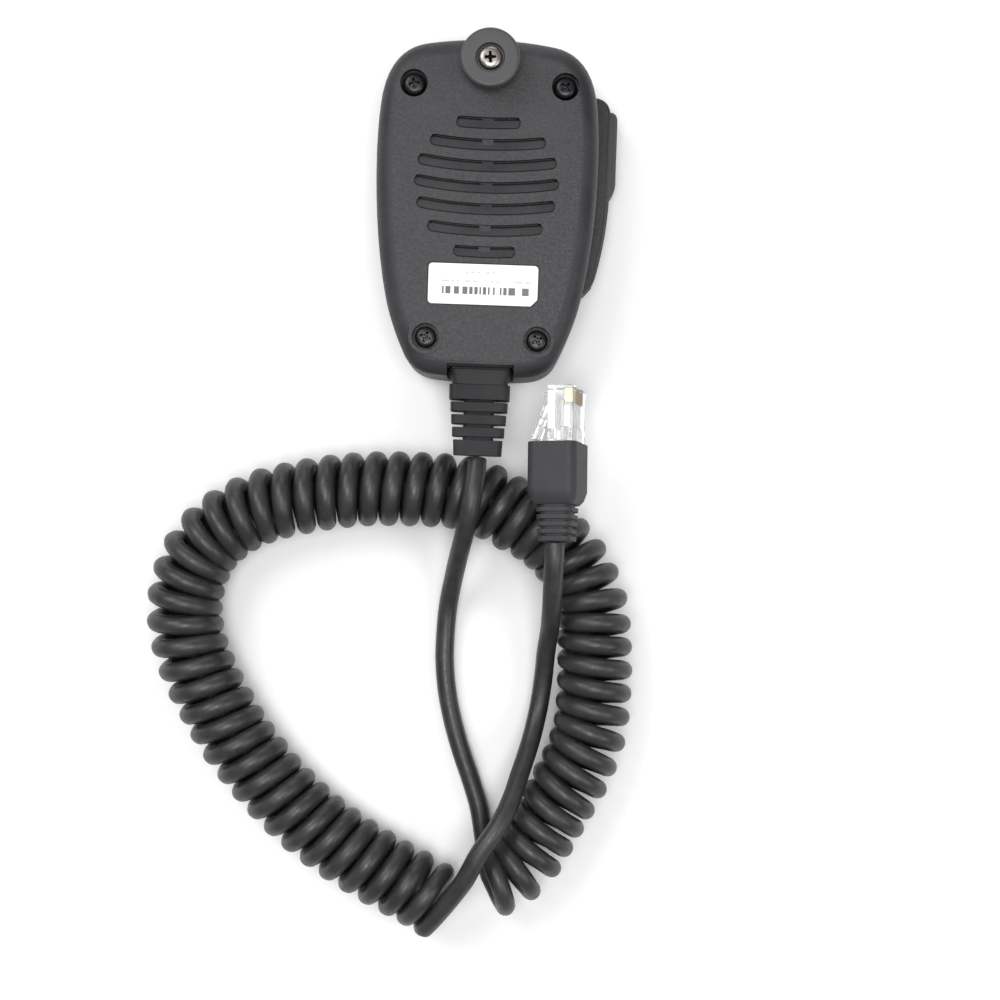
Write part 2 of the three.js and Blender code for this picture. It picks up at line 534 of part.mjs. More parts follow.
function plugBody() {
  const size = [BODY.halfWidth, BODY.halfHeight];
  const body = taperedBar([[BODY.from, ...size], [BODY.to, ...size]], 0.05).translate([0, 0, BODY.middle]);
  const slots = [];
  for (let i = 0; i < CONTACT.count; i++) {
    slots.push(block(contactX(i) - CONTACT.slot / 2, contactX(i) + CONTACT.slot / 2, CONTACT.from - GAP,
      CONTACT.to + GAP, BODY.middle - 5, CONTACT.high + GAP));
  }
  return cut(body, slots);
}

const contact = (i) => block(contactX(i) - CONTACT.thick / 2, contactX(i) + CONTACT.thick / 2, CONTACT.from,
  CONTACT.to, CONTACT.low, CONTACT.high);

function plugLatch() {
  const foot = BODY.middle + BODY.halfHeight + GAP;
  const side = new THREE.Shape();
  side.moveTo(LATCH.root, foot);
  side.lineTo(LATCH.root, foot + LATCH.thick);
  side.lineTo(LATCH.root - 4, foot + LATCH.thick + 0.5);
  side.lineTo(LATCH.end, foot + LATCH.rise + LATCH.thick);
  side.lineTo(LATCH.end, foot + LATCH.rise);
  side.lineTo(LATCH.root - 0.6, foot);
  side.closePath();
  const geometry = new THREE.ExtrudeGeometry(side, { depth: 2 * LATCH.halfWidth, bevelEnabled: false });
  geometry.translate(0, 0, -LATCH.halfWidth);
  const turn = new THREE.Matrix4().makeBasis(new THREE.Vector3(0, 1, 0), new THREE.Vector3(0, 0, 1),
    new THREE.Vector3(1, 0, 0));
  return solid(geometry.applyMatrix4(turn));
}

// ---- assembly ----
const microphone = new THREE.Group();

/** Adds one named piece to a group. */
function place(group, name, body, material) {
  const mesh = new THREE.Mesh(body.isBufferGeometry ? body : geometryOf(body), material);
  mesh.name = name;
  group.add(mesh);
  return mesh;
}

place(microphone, "rear_cover", rearCover(), CASE_PLASTIC);
place(microphone, "front_cover", frontCover(), CASE_PLASTIC);
CASE_SCREW_PLACES.forEach((spot, i) => place(microphone, `case_screw_${i + 1}`, caseScrew(spot), BLACK_METAL));
place(microphone, "hang_button", hangDisc(), CASE_PLASTIC);
place(microphone, "hang_button_spacer", hangCollar(), CASE_PLASTIC);
place(microphone, "hang_button_screw", hangScrew(), BRIGHT_METAL);
place(microphone, "hang_button_nut", hangNut(), BRIGHT_METAL);
place(microphone, "id_label", label(), PAPER);

place(microphone, "ptt_lever", talkLever(), KEY_PLASTIC);
place(microphone, "ptt_pivot_pin", post(LEVER.pivotX, LEVER.pivotY, LEVER.pinRadius, LEVER_POCKET.low + GAP,
  LEVER_POCKET.high - GAP, 16), BRIGHT_METAL);
place(microphone, "ptt_switch", talkSwitch(), COMPONENT);
place(microphone, "ptt_switch_plunger", barAlongX(TALK_SWITCH.y, LEVER_MIDDLE, TALK_SWITCH.plungerRadius, 22.4, 26.1),
  KEY_PLASTIC);

[["up", -1], ["down", 1]].forEach(([name, side]) => {
  place(microphone, `${name}_key`, topKey(side), KEY_PLASTIC);
  place(microphone, `${name}_switch`, keySwitch(side), COMPONENT);
  place(microphone, `${name}_switch_plunger`, barAlongY(side * KEY.x, KEY_MIDDLE, KEY_SWITCH.plungerRadius,
    KEY_SWITCH.plungerFoot, KEY_SWITCH.plungerTop, 12), KEY_PLASTIC);
});

place(microphone, "circuit_board", circuitBoard(), LAMINATE);
BOARD_SCREW_PLACES.forEach((spot, i) => place(microphone, `board_screw_${i + 1}`, boardScrew(spot), BRIGHT_METAL));
place(microphone, "mic_capsule", capsule(), BRIGHT_METAL);
place(microphone, "capsule_holder", capsuleHolder(), RUBBER);
place(microphone, "front_grille_cloth", frontCloth(), CLOTH);
place(microphone, "rear_grille_cloth", rearCloth(), CLOTH);
place(microphone, "preamp_chip", block(-5, 5, -6, -2, BOARD.low + BOARD.thick + GAP, 15), COMPONENT);
place(microphone, "coupling_capacitor", post(8.5, -14, 2.6, BOARD.low + BOARD.thick + GAP, 18.5, 20), COMPONENT);
place(microphone, "board_connector", block(-6.2, 6.2, -26.6, -21.4, BOARD.low + BOARD.thick + GAP, 18), PAPER);
place(microphone, "wire_bundle", barAlongY(0, RELIEF.z, 1.5, -30.9, -26.9, 12), CLOTH);
place(microphone, "cable_tail", barAlongY(0, RELIEF.z, CORD.diameter / 2, -38.9, -31.2, 16), RUBBER);
place(microphone, "cord_clamp", cordClamp(), KEY_PLASTIC);
[-1, 1].forEach((side, i) => place(microphone, `clamp_screw_${i + 1}`, clampScrew(side), BRIGHT_METAL));

// The sleeve climbs as it leaves the case, with its ribs still square to the floor.
const climb = [1, 0, 0, 0, 0, Math.cos(RELIEF.tilt), -Math.sin(RELIEF.tilt), 0, 0, 0, 1, 0, 0, RELIEF.y, RELIEF.z, 1];
const sleeve = strainRelief().rotate([0, 0, 180]).transform(climb);
const flange = block(-FLANGE.halfWidth, FLANGE.halfWidth, FLANGE.from, FLANGE.to, RELIEF.z - FLANGE.halfHeight,
  RELIEF.z + FLANGE.halfHeight);
const neck = block(-SLEEVE_NECK.halfWidth, SLEEVE_NECK.halfWidth, FLANGE.from - SLEEVE_NECK.length, FLANGE.to,
  RELIEF.z - SLEEVE_NECK.halfHeight, RELIEF.z + SLEEVE_NECK.halfHeight);
place(microphone, "strain_relief", join([sleeve, flange, neck]), RUBBER);

place(microphone, "mic_lead", tube(MIC_LEAD_ROUTE, CORD.diameter / 2, CORD.leadSides, 24), RUBBER);
place(microphone, "curly_cord", tube(COIL_ROUTE, CORD.coilOuter / 2, CORD.coilSides, 32), RUBBER);
place(microphone, "plug_lead", tube(PLUG_LEAD_ROUTE, CORD.diameter / 2, CORD.leadSides, 24), RUBBER);

const plug = new THREE.Group();
plug.position.set(PLUG.x, PLUG.y, PLUG.z);
plug.rotation.set(-PLUG.droop, -PLUG.roll, PLUG.yaw, "ZXY");
place(plug, "plug_boot", plugBoot(), RUBBER);
place(plug, "plug_body", plugBody(), CLEAR);
place(plug, "plug_latch", plugLatch(), CLEAR);
for (let i = 0; i < CONTACT.count; i++) place(plug, `contact_${i + 1}`, contact(i), GILT);
microphone.add(plug);

export default microphone;
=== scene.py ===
"""Hand microphone with a curly cord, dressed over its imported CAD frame. Metres, +Z up."""
import logging
import math
from dataclasses import dataclass, field
from enum import Enum
from typing import Callable, Iterable, Sequence

import bmesh
import bpy
from mathutils import Matrix, Vector
from mathutils.geometry import interpolate_bezier


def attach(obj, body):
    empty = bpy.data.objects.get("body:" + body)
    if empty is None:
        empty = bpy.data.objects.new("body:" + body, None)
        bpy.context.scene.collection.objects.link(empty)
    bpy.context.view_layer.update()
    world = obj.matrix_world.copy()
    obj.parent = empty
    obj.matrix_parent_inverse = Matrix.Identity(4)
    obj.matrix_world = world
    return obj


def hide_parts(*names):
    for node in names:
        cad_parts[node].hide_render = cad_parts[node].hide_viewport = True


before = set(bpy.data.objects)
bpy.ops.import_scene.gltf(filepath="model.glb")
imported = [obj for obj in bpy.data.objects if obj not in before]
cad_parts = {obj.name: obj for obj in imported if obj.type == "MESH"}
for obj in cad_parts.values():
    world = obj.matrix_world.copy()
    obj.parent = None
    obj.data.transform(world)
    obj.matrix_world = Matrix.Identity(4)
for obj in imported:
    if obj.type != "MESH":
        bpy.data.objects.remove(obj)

LOG = logging.getLogger("hand_microphone")
MM = 0.001
ALONG_Y = Matrix.Rotation(-math.pi / 2, 4, "X")  # turns a piece drawn along Z to lie along Y
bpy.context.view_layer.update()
SHARP_ANGLE = math.radians(38)
MADE: dict[str, bpy.types.Material] = {}
DUST_COLOUR = (0.6, 0.6, 0.58, 1.0)
SCUFF_COLOUR = (0.5, 0.5, 0.5, 1.0)
# The next two values paint shade: a near-black colour and the height over which it fades in, standing in for the shade
# in a screw's cross recess.
RECESS_SHADE_COLOUR = (0.008, 0.008, 0.008, 1.0)
RECESS_SHADE_FADE = 0.15 * MM


class Body(Enum):
    """The rigid bodies that the pieces ride on."""

    CASE = "root"
    TALK_BAR = "ptt_lever"
    UP_KEY = "up_key"
    DOWN_KEY = "down_key"
    LATCH = "plug_latch"


class Side(Enum):
    """The two sides of the case's middle line."""

    LEFT = -1
    RIGHT = 1


# ---------------------------------------------------------------- mesh helpers


def mm(*values: float) -> Vector:
    """Return a point given in millimetres as a vector in metres."""
    return Vector([value * MM for value in values])


def add_to_scene(name: str, data: bpy.types.ID) -> bpy.types.Object:
    """Link a new object to the scene.

    Args:
        name: The object's name.
        data: Its mesh, curve, light or camera data.

    Returns:
        The new object, at the origin.
    """
    item = bpy.data.objects.new(name, data)
    bpy.context.scene.collection.objects.link(item)
    return item


def mark_sharp_edges(shape: bmesh.types.BMesh, limit: float = SHARP_ANGLE) -> None:
    """Smooth every face and keep the edges that fold by more than a limit crisp."""
    for face in shape.faces:
        face.smooth = True
    for edge in shape.edges:
        edge.smooth = len(edge.link_faces) != 2 or edge.calc_face_angle(0.0) < limit


def object_from(name: str, shape: bmesh.types.BMesh, clean: bool = True) -> bpy.types.Object:
    """Turn a bmesh into a scene object and free it.

    Args:
        name: The object's name.
        shape: The finished bmesh.
        clean: Whether doubles are merged and normals are turned outwards.

    Returns:
        The object that holds the mesh.
    """
    if clean:
        bmesh.ops.remove_doubles(shape, verts=shape.verts, dist=1e-6)
        bmesh.ops.recalc_face_normals(shape, faces=shape.faces)
    mark_sharp_edges(shape)
    mesh = bpy.data.meshes.new(name)
    shape.to_mesh(mesh)
    shape.free()
    return add_to_scene(name, mesh)


def keep_modifiers(item: bpy.types.Object) -> None:
    """Replace an object's mesh by the result of its modifiers."""
    graph = bpy.context.evaluated_depsgraph_get()
    graph.update()
    result = bpy.data.meshes.new_from_object(item.evaluated_get(graph), depsgraph=graph)
    item.modifiers.clear()
    before = item.data
    item.data = result
    bpy.data.meshes.remove(before)


def combine(item: bpy.types.Object, tool: bpy.types.Object, operation: str) -> None:
    """Join a tool to an object or cut it away, then delete the tool.

    Args:
        item: The object that is changed.
        tool: The closed mesh that joins or cuts it.
        operation: UNION, DIFFERENCE or INTERSECT.
    """
    step = item.modifiers.new("combine", "BOOLEAN")
    step.operation = operation
    step.solver = "EXACT"
    step.object = tool
    keep_modifiers(item)
    bpy.data.meshes.remove(tool.data)


def tidy_surface(item: bpy.types.Object, edge_round: float = 0.0, limit: float = SHARP_ANGLE) -> None:
    """Clean a carved mesh, round its crisp edges a little and even out its shading.

    Args:
        item: The object to finish.
        edge_round: Width of the small rounding along crisp edges, or 0 for none.
        limit: Fold above which an edge counts as crisp.
    """
    shape = bmesh.new()
    shape.from_mesh(item.data)
    bmesh.ops.remove_doubles(shape, verts=shape.verts, dist=2e-6)
    bmesh.ops.dissolve_degenerate(shape, edges=shape.edges, dist=1e-6)
    mark_sharp_edges(shape, limit)
    shape.to_mesh(item.data)
    shape.free()
    if edge_round > 0.0:
        rounding = item.modifiers.new("edge_round", "BEVEL")
        rounding.width = edge_round
        rounding.segments = 2
        rounding.limit_method = "ANGLE"
        rounding.angle_limit = limit
        rounding.use_clamp_overlap = True
        rounding.miter_outer = "MITER_ARC"
    shading = item.modifiers.new("shading", "WEIGHTED_NORMAL")
    shading.keep_sharp = True
    keep_modifiers(item)


def ring_prism(ring: Sequence[Vector], low: float, high: float) -> bmesh.types.BMesh:
    """Extrude a flat ring of points into an upright block.

    Args:
        ring: Corner points in the XY plane.
        low: Height of the block's foot.
        high: Height of the block's top.

    Returns:
        A closed bmesh.
    """
    shape = bmesh.new()
    corners = [shape.verts.new((point.x, point.y, low)) for point in ring]
    foot = shape.faces.new(corners)
    grown = bmesh.ops.extrude_face_region(shape, geom=[foot])["geom"]
    tops = [part for part in grown if isinstance(part, bmesh.types.BMVert)]
    bmesh.ops.translate(shape, verts=tops, vec=(0, 0, high - low))
    bmesh.ops.recalc_face_normals(shape, faces=shape.faces)
    return shape


def bevel(shape: bmesh.types.BMesh, edges: Iterable[bmesh.types.BMEdge], width: float, segments: int) -> None:
    """Round a set of edges."""
    bmesh.ops.bevel(shape, geom=list(edges), offset=width, offset_type="OFFSET", affect="EDGES",
                    segments=segments, profile=0.5, material=-1, clamp_overlap=True)


def edges_at_height(shape: bmesh.types.BMesh, height: float) -> list[bmesh.types.BMEdge]:
    """Return the edges that lie flat at one height."""
    return [edge for edge in shape.edges if all(abs(vert.co.z - height) < 1e-7 for vert in edge.verts)]


def turned_piece(profile: Sequence[tuple[float, float]], centre: Vector, steps: int = 64) -> bmesh.types.BMesh:
    """Spin a profile round a vertical axis.

    Args:
        profile: Points as (radius, height above the centre) in metres, from axis to axis or round a loop.
        centre: The point of the axis that heights are counted from.
        steps: Number of facets round the axis.

    Returns:
        A closed bmesh.
    """
    shape = bmesh.new()
    verts = [shape.verts.new((radius, 0, height)) for radius, height in profile]
    edges = [shape.edges.new(pair) for pair in zip(verts, verts[1:])]
    if profile[0][0] > 0.0:
        edges.append(shape.edges.new((verts[-1], verts[0])))
    bmesh.ops.spin(shape, geom=verts + edges, cent=(0, 0, 0), axis=(0, 0, 1), angle=math.tau,
                   steps=steps, use_merge=True)
    bmesh.ops.remove_doubles(shape, verts=shape.verts, dist=1e-7)
    bmesh.ops.recalc_face_normals(shape, faces=shape.faces)
    bmesh.ops.translate(shape, verts=shape.verts, vec=centre)
    return shape


def block(low: Vector, high: Vector, rounding: float = 0.0, segments: int = 3) -> bmesh.types.BMesh:
    """Make a box between two corners, with all its edges rounded if asked."""
    shape = bmesh.new()
    bmesh.ops.create_cube(shape, size=1.0)
    size = high - low
    bmesh.ops.scale(shape, vec=size, verts=shape.verts)
    bmesh.ops.translate(shape, verts=shape.verts, vec=(low + high) / 2)
    if rounding > 0.0:
        bevel(shape, shape.edges, rounding, segments)
    return shape


@dataclass(frozen=True)
class Station:
    """One section of a sleeve: how far along it lies and how large it is, in millimetres."""

    along: float
    half_width: float
    half_height: float


def sleeve(stations: Sequence[Station], corner: float, corner_steps: int = 4) -> bmesh.types.BMesh:
    """Draw a rounded rectangle along +Y through a list of sections.

    Args:
        stations: The sections, in order along the sleeve.
        corner: Corner rounding as a share of the half height.
        corner_steps: Facets of each corner.

    Returns:
        A closed bmesh that starts and ends in flat faces.
    """
    shape = bmesh.new()
    first = stations[0]
    corners = [(1, 1), (-1, 1), (-1, -1), (1, -1)]
    verts = [shape.verts.new((x * first.half_width * MM, first.along * MM, z * first.half_height * MM))
             for x, z in corners]
    shape.faces.new(verts)
    bmesh.ops.bevel(shape, geom=verts, offset=corner * first.half_height * MM, offset_type="OFFSET",
                    affect="VERTICES", segments=corner_steps, profile=0.5, material=-1)
    ring = list(shape.edges)
    for before, after in zip(stations, stations[1:]):
        grown = bmesh.ops.extrude_edge_only(shape, edges=ring)["geom"]
        moved = [part for part in grown if isinstance(part, bmesh.types.BMVert)]
        ring = [part for part in grown if isinstance(part, bmesh.types.BMEdge)]
        growth = (after.half_width / before.half_width, 1.0, after.half_height / before.half_height)
        bmesh.ops.scale(shape, vec=growth, verts=moved)
        bmesh.ops.translate(shape, verts=moved, vec=(0, (after.along - before.along) * MM, 0))
    bmesh.ops.contextual_create(shape, geom=ring)
    bmesh.ops.recalc_face_normals(shape, faces=shape.faces)
    return shape


def smooth_path(points: Sequence[Vector], spacing: float) -> list[Vector]:
    """Return evenly spaced points on a smooth curve through a list of points.

    Args:
        points: The points that the curve passes through.
        spacing: Distance between the points that come back.

    Returns:
        The evenly spaced points, first and last kept.
    """
    fine = []
    for i in range(len(points) - 1):
        start, end = points[i], points[i + 1]
        before = points[i - 1] if i > 0 else start * 2 - end
        after = points[i + 2] if i + 2 < len(points) else end * 2 - start
        span = (end - start).length
        pull_start = (end - before).normalized() * span / 3
        pull_end = (after - start).normalized() * span / 3
        fine.extend(interpolate_bezier(start, start + pull_start, end - pull_end, end, 24)[:-1])
    fine.append(points[-1].copy())
    return even_points(fine, spacing)


def even_points(points: Sequence[Vector], spacing: float) -> list[Vector]:
    """Resample a line of points at an even spacing."""
    lengths = [0.0]
    for start, end in zip(points, points[1:]):
        lengths.append(lengths[-1] + (end - start).length)
    count = max(2, round(lengths[-1] / spacing))
    result, leg = [], 0
    for i in range(count + 1):
        target = lengths[-1] * i / count
        while leg < len(points) - 2 and lengths[leg + 1] < target:
            leg += 1
        share = (target - lengths[leg]) / max(lengths[leg + 1] - lengths[leg], 1e-12)
        result.append(points[leg].lerp(points[leg + 1], share))
    return result


def path_length(points: Sequence[Vector]) -> float:
    """Return the length of a line of points."""
    return sum((end - start).length for start, end in zip(points, points[1:]))


# ---------------------------------------------------------------- shader groups


class Sheet:
    """A node tree that is filled in step by step."""

    def __init__(self, tree: bpy.types.NodeTree) -> None:
        """Start on a tree, which keeps the nodes it has."""
        self.tree = tree

    def node(self, kind: str, inputs: dict | None = None, **settings: object) -> bpy.types.Node:
        """Add a node.

        Args:
            kind: The node's class name without its ShaderNode prefix.
            inputs: Socket names to values, or to the sockets that feed them.
            **settings: The node's own properties.

        Returns:
            The new node.
        """
        made = self.tree.nodes.new("ShaderNode" + kind)
        for name, value in settings.items():
            setattr(made, name, value)
        for name, value in (inputs or {}).items():
            self.feed(made.inputs[name], value)
        return made

    def feed(self, socket: bpy.types.NodeSocket, value: object) -> None:
        """Link a socket to another, or set its value."""
        if isinstance(value, bpy.types.NodeSocket):
            self.tree.links.new(value, socket)
        else:
            socket.default_value = value

    def math(self, operation: str, first: object, second: object = 0.0) -> bpy.types.NodeSocket:
        """Add a Math node and return its output."""
        made = self.node("Math", {0: first, 1: second}, operation=operation)
        return made.outputs[0]

    def blend(self, share: object, first: object, second: object) -> bpy.types.NodeSocket:
        """Mix two colours and return the result."""
        made = self.node("Mix", data_type="RGBA")
        self.feed(made.inputs["Factor"], share)
        self.feed(made.inputs[6], first)
        self.feed(made.inputs[7], second)
        return made.outputs[2]

    def ramp(self, value: object, low: float, high: float) -> bpy.types.NodeSocket:
        """Spread a value from low..high over 0..1 and return it."""
        made = self.node("MapRange", {"Value": value, "From Min": low, "From Max": high})
        return made.outputs["Result"]


def shader_group(name: str, inputs: Sequence[tuple[str, str, object]], outputs: Sequence[tuple[str, str]],
                 fill: Callable[[Sheet, bpy.types.Node, bpy.types.Node], None]) -> bpy.types.NodeTree:
    """Build a node group once and hand the same one out afterwards.

    Args:
        name: The group's name.
        inputs: Name, socket type and default of each input.
        outputs: Name and socket type of each output.
        fill: Function that adds the nodes between the group's input and output.

    Returns:
        The node group.
    """
    known = bpy.data.node_groups.get(name)
    if known:
        return known
    tree = bpy.data.node_groups.new(name, "ShaderNodeTree")
    for title, kind, value in inputs:
        socket = tree.interface.new_socket(name=title, in_out="INPUT", socket_type="NodeSocket" + kind)
        if value is not None:
            socket.default_value = value
    for title, kind in outputs:
        tree.interface.new_socket(name=title, in_out="OUTPUT", socket_type="NodeSocket" + kind)
    sheet = Sheet(tree)
    fill(sheet, tree.nodes.new("NodeGroupInput"), tree.nodes.new("NodeGroupOutput"))
    return tree


def fill_grain(sheet: Sheet, given: bpy.types.Node, result: bpy.types.Node) -> None:
    """Fine eroded grain: small pits over a softer unevenness."""
    place, scale = given.outputs["Place"], given.outputs["Scale"]
    pits = sheet.node("TexVoronoi", {"Vector": place, "Scale": scale}, feature="SMOOTH_F1")
    fine = sheet.node("TexNoise", {"Vector": place, "Scale": sheet.math("MULTIPLY", scale, 0.55), "Detail": 4.0})
    height = sheet.math("ADD", sheet.math("MULTIPLY", pits.outputs["Distance"], 0.6), fine.outputs[0])
    sheet.feed(result.inputs["Height"], height)
    sheet.feed(result.inputs["Shade"], sheet.ramp(fine.outputs[0], 0.35, 0.65))


def fill_mottle(sheet: Sheet, given: bpy.types.Node, result: bpy.types.Node) -> None:
    """Broad uneven tone that keeps a moulded surface from looking painted."""
    cloud = sheet.node("TexNoise", {"Vector": given.outputs["Place"], "Scale": given.outputs["Scale"],
                                    "Detail": 3.0, "Roughness": 0.6})
    shade = sheet.ramp(cloud.outputs[0], 0.3, 0.7)
    light = sheet.blend(0.5, given.outputs["Colour"], (0.5, 0.5, 0.5, 1.0))
    share = sheet.math("MULTIPLY", shade, given.outputs["Amount"])
    sheet.feed(result.inputs["Colour"], sheet.blend(share, given.outputs["Colour"], light))
    sheet.feed(result.inputs["Shade"], shade)


def fill_dust(sheet: Sheet, given: bpy.types.Node, result: bpy.types.Node) -> None:
    """Sparse pale specks."""
    place, scale = given.outputs["Place"], given.outputs["Scale"]
    specks = sheet.node("TexVoronoi", {"Vector": place, "Scale": scale}, feature="F1")
    cloud = sheet.node("TexNoise", {"Vector": place, "Scale": sheet.math("MULTIPLY", scale, 0.12)})
    near = sheet.ramp(specks.outputs["Distance"], 0.16, 0.04)
    often = sheet.ramp(cloud.outputs[0], 0.52, 0.72)
    sheet.feed(result.inputs["Mask"], sheet.math("MULTIPLY", near, often))


def fill_scuffs(sheet: Sheet, given: bpy.types.Node, result: bpy.types.Node) -> None:
    """Fine hairline scratches in two directions."""
    place = given.outputs["Place"]
    lines = []
    for turn in (0.4, 1.9):
        turned = sheet.node("Mapping", {"Vector": place, "Rotation": (0.0, 0.0, turn), "Scale": (1.0, 26.0, 1.0)})
        noise = sheet.node("TexNoise", {"Vector": turned.outputs[0], "Scale": given.outputs["Scale"], "Detail": 2.0})
        lines.append(sheet.ramp(noise.outputs[0], 0.68, 0.74))
    sheet.feed(result.inputs["Mask"], sheet.math("MAXIMUM", lines[0], lines[1]))


def grain_group() -> bpy.types.NodeTree:
    """Return the eroded grain group."""
    return shader_group("moulded_grain", [("Place", "Vector", None), ("Scale", "Float", 3000.0)],
                        [("Height", "Float"), ("Shade", "Float")], fill_grain)


def mottle_group() -> bpy.types.NodeTree:
    """Return the broad tone group."""
    inputs = [("Place", "Vector", None), ("Colour", "Color", (0.5, 0.5, 0.5, 1.0)), ("Scale", "Float", 60.0),
              ("Amount", "Float", 0.1)]
    return shader_group("moulded_tone", inputs, [("Colour", "Color"), ("Shade", "Float")], fill_mottle)


def dust_group() -> bpy.types.NodeTree:
    """Return the dust group."""
    return shader_group("dust_specks", [("Place", "Vector", None), ("Scale", "Float", 900.0)],
                        [("Mask", "Float")], fill_dust)


def scuff_group() -> bpy.types.NodeTree:
    """Return the hairline scratch group."""
    return shader_group("hairline_scuffs", [("Place", "Vector", None), ("Scale", "Float", 120.0)],
                        [("Mask", "Float")], fill_scuffs)


# ---------------------------------------------------------------- finishes

Colour = tuple[float, float, float]


@dataclass(frozen=True)
class Finish:
    """A moulded, painted or plated surface with grain, uneven tone, dust and scuffs.

    Lengths in the surface pattern are set by the scales, in features per metre. Below a set height, if one is given,
    the colour is painted near black as shade, as in the cross recess of a screw.
    """

    name: str
    colour: Colour
    roughness: float = 0.5
    metallic: float = 0.0
    grain_scale: float = 3000.0
    grain_depth: float = 0.00004
    tone_scale: float = 60.0
    tone_amount: float = 0.08
    dust: float = 0.15
    scuffs: float = 0.1
    roughness_spread: float = 0.12
    coat: float = 0.0
    specular: float = 0.5
    # height below which the colour is painted near black as shade, 0 for none
    shade_below_height: float = 0.0

    def material(self) -> bpy.types.Material:
        """Return the material, which is built when it is first asked for."""
        if self.name in MADE:
            return MADE[self.name]
        made = MADE[self.name] = bpy.data.materials.new(self.name)
        made.use_nodes = True
        made.node_tree.nodes.clear()
        sheet = Sheet(made.node_tree)
        surface = sheet.node("BsdfPrincipled")
        output = sheet.node("OutputMaterial")
        sheet.feed(output.inputs["Surface"], surface.outputs["BSDF"])
        self.dress(sheet, surface)
        made.diffuse_color = (*self.colour, 1.0)
        return made

    def dress(self, sheet: Sheet, surface: bpy.types.Node) -> None:
        """Fill in the material's nodes."""
        place = sheet.node("TexCoord").outputs["Object"]
        colour, shade = self.toned(sheet, place, (*self.colour, 1.0))
        grain = self.grouped(sheet, grain_group(), {"Place": place, "Scale": self.grain_scale})
        dust = self.grouped(sheet, dust_group(), {"Place": place})
        scuffs = self.grouped(sheet, scuff_group(), {"Place": place})
        wear_and_shade_colour = sheet.blend(sheet.math("MULTIPLY", dust.outputs["Mask"], self.dust), colour, DUST_COLOUR)
        scuffed = sheet.math("MULTIPLY", scuffs.outputs["Mask"], self.scuffs)
        wear_and_shade_colour = sheet.blend(scuffed, wear_and_shade_colour, SCUFF_COLOUR)
        # painted shade: below the set height the colour fades to near black, standing in for the shade in a screw's
        # cross recess
        if self.shade_below_height:
            height = sheet.node("SeparateXYZ", {"Vector": place}).outputs["Z"]
            lit = sheet.ramp(height, self.shade_below_height - RECESS_SHADE_FADE, self.shade_below_height + RECESS_SHADE_FADE)
            wear_and_shade_colour = sheet.blend(lit, RECESS_SHADE_COLOUR, wear_and_shade_colour)
        uneven = sheet.math("MULTIPLY", sheet.math("ADD", shade, grain.outputs["Shade"]), self.roughness_spread)
        rough = sheet.math("ADD", uneven, self.roughness - self.roughness_spread)
        bump = sheet.node("Bump", {"Height": grain.outputs["Height"], "Distance": self.grain_depth, "Strength": 1.0})
        sheet.feed(surface.inputs["Base Color"], wear_and_shade_colour)
        sheet.feed(surface.inputs["Roughness"], rough)
        sheet.feed(surface.inputs["Normal"], bump.outputs["Normal"])
        surface.inputs["Metallic"].default_value = self.metallic
        surface.inputs["Coat Weight"].default_value = self.coat
        surface.inputs["Specular IOR Level"].default_value = self.specular

    def toned(self, sheet: Sheet, place: object, colour: object) -> tuple:
        """Pass a colour through the broad tone group and return it with its shade."""
        tone = self.grouped(sheet, mottle_group(), {"Place": place, "Colour": colour, "Scale": self.tone_scale,
                                                    "Amount": self.tone_amount})
        return tone.outputs["Colour"], tone.outputs["Shade"]

    @staticmethod
    def grouped(sheet: Sheet, tree: bpy.types.NodeTree, inputs: dict) -> bpy.types.Node:
        """Place a group in the material with its own values."""
        made = sheet.node("Group", node_tree=tree)
        for name, value in inputs.items():
            sheet.feed(made.inputs[name], value)
        return made


@dataclass(frozen=True)
class ClearFinish(Finish):
    """Clear moulded plastic with faint flow marks."""

    ior: float = 1.5

    def dress(self, sheet: Sheet, surface: bpy.types.Node) -> None:
        """Fill in the material's nodes."""
        place = sheet.node("TexCoord").outputs["Object"]
        colour, shade = self.toned(sheet, place, (*self.colour, 1.0))
        rough = sheet.math("ADD", sheet.math("MULTIPLY", shade, self.roughness_spread), self.roughness)
        flow = sheet.node("TexNoise", {"Vector": place, "Scale": self.grain_scale, "Detail": 2.0, "Distortion": 1.2})
        bump = sheet.node("Bump", {"Height": flow.outputs[0], "Distance": self.grain_depth, "Strength": 1.0})
        sheet.feed(surface.inputs["Base Color"], colour)
        sheet.feed(surface.inputs["Roughness"], rough)
        sheet.feed(surface.inputs["Normal"], bump.outputs["Normal"])
        surface.inputs["Transmission Weight"].default_value = 1.0
        surface.inputs["IOR"].default_value = self.ior


@dataclass(frozen=True)
class WovenFinish(Finish):
    """Fine woven cloth with a regular over-and-under."""

    threads: float = 1800.0

    def dress(self, sheet: Sheet, surface: bpy.types.Node) -> None:
        """Fill in the material's nodes."""
        place = sheet.node("TexCoord").outputs["Object"]
        colour, _ = self.toned(sheet, place, (*self.colour, 1.0))
        waves = [sheet.node("TexWave", {"Vector": place, "Scale": self.threads / 3.0}, bands_direction=way,
                            wave_profile="SIN").outputs[1] for way in ("X", "Y")]
        weave = sheet.math("MULTIPLY", waves[0], waves[1])
        bump = sheet.node("Bump", {"Height": weave, "Distance": self.grain_depth, "Strength": 1.0})
        lit = sheet.blend(sheet.math("MULTIPLY", weave, 0.3), colour, (0.1, 0.1, 0.1, 1.0))
        sheet.feed(surface.inputs["Base Color"], lit)
        sheet.feed(surface.inputs["Normal"], bump.outputs["Normal"])
        surface.inputs["Roughness"].default_value = self.roughness


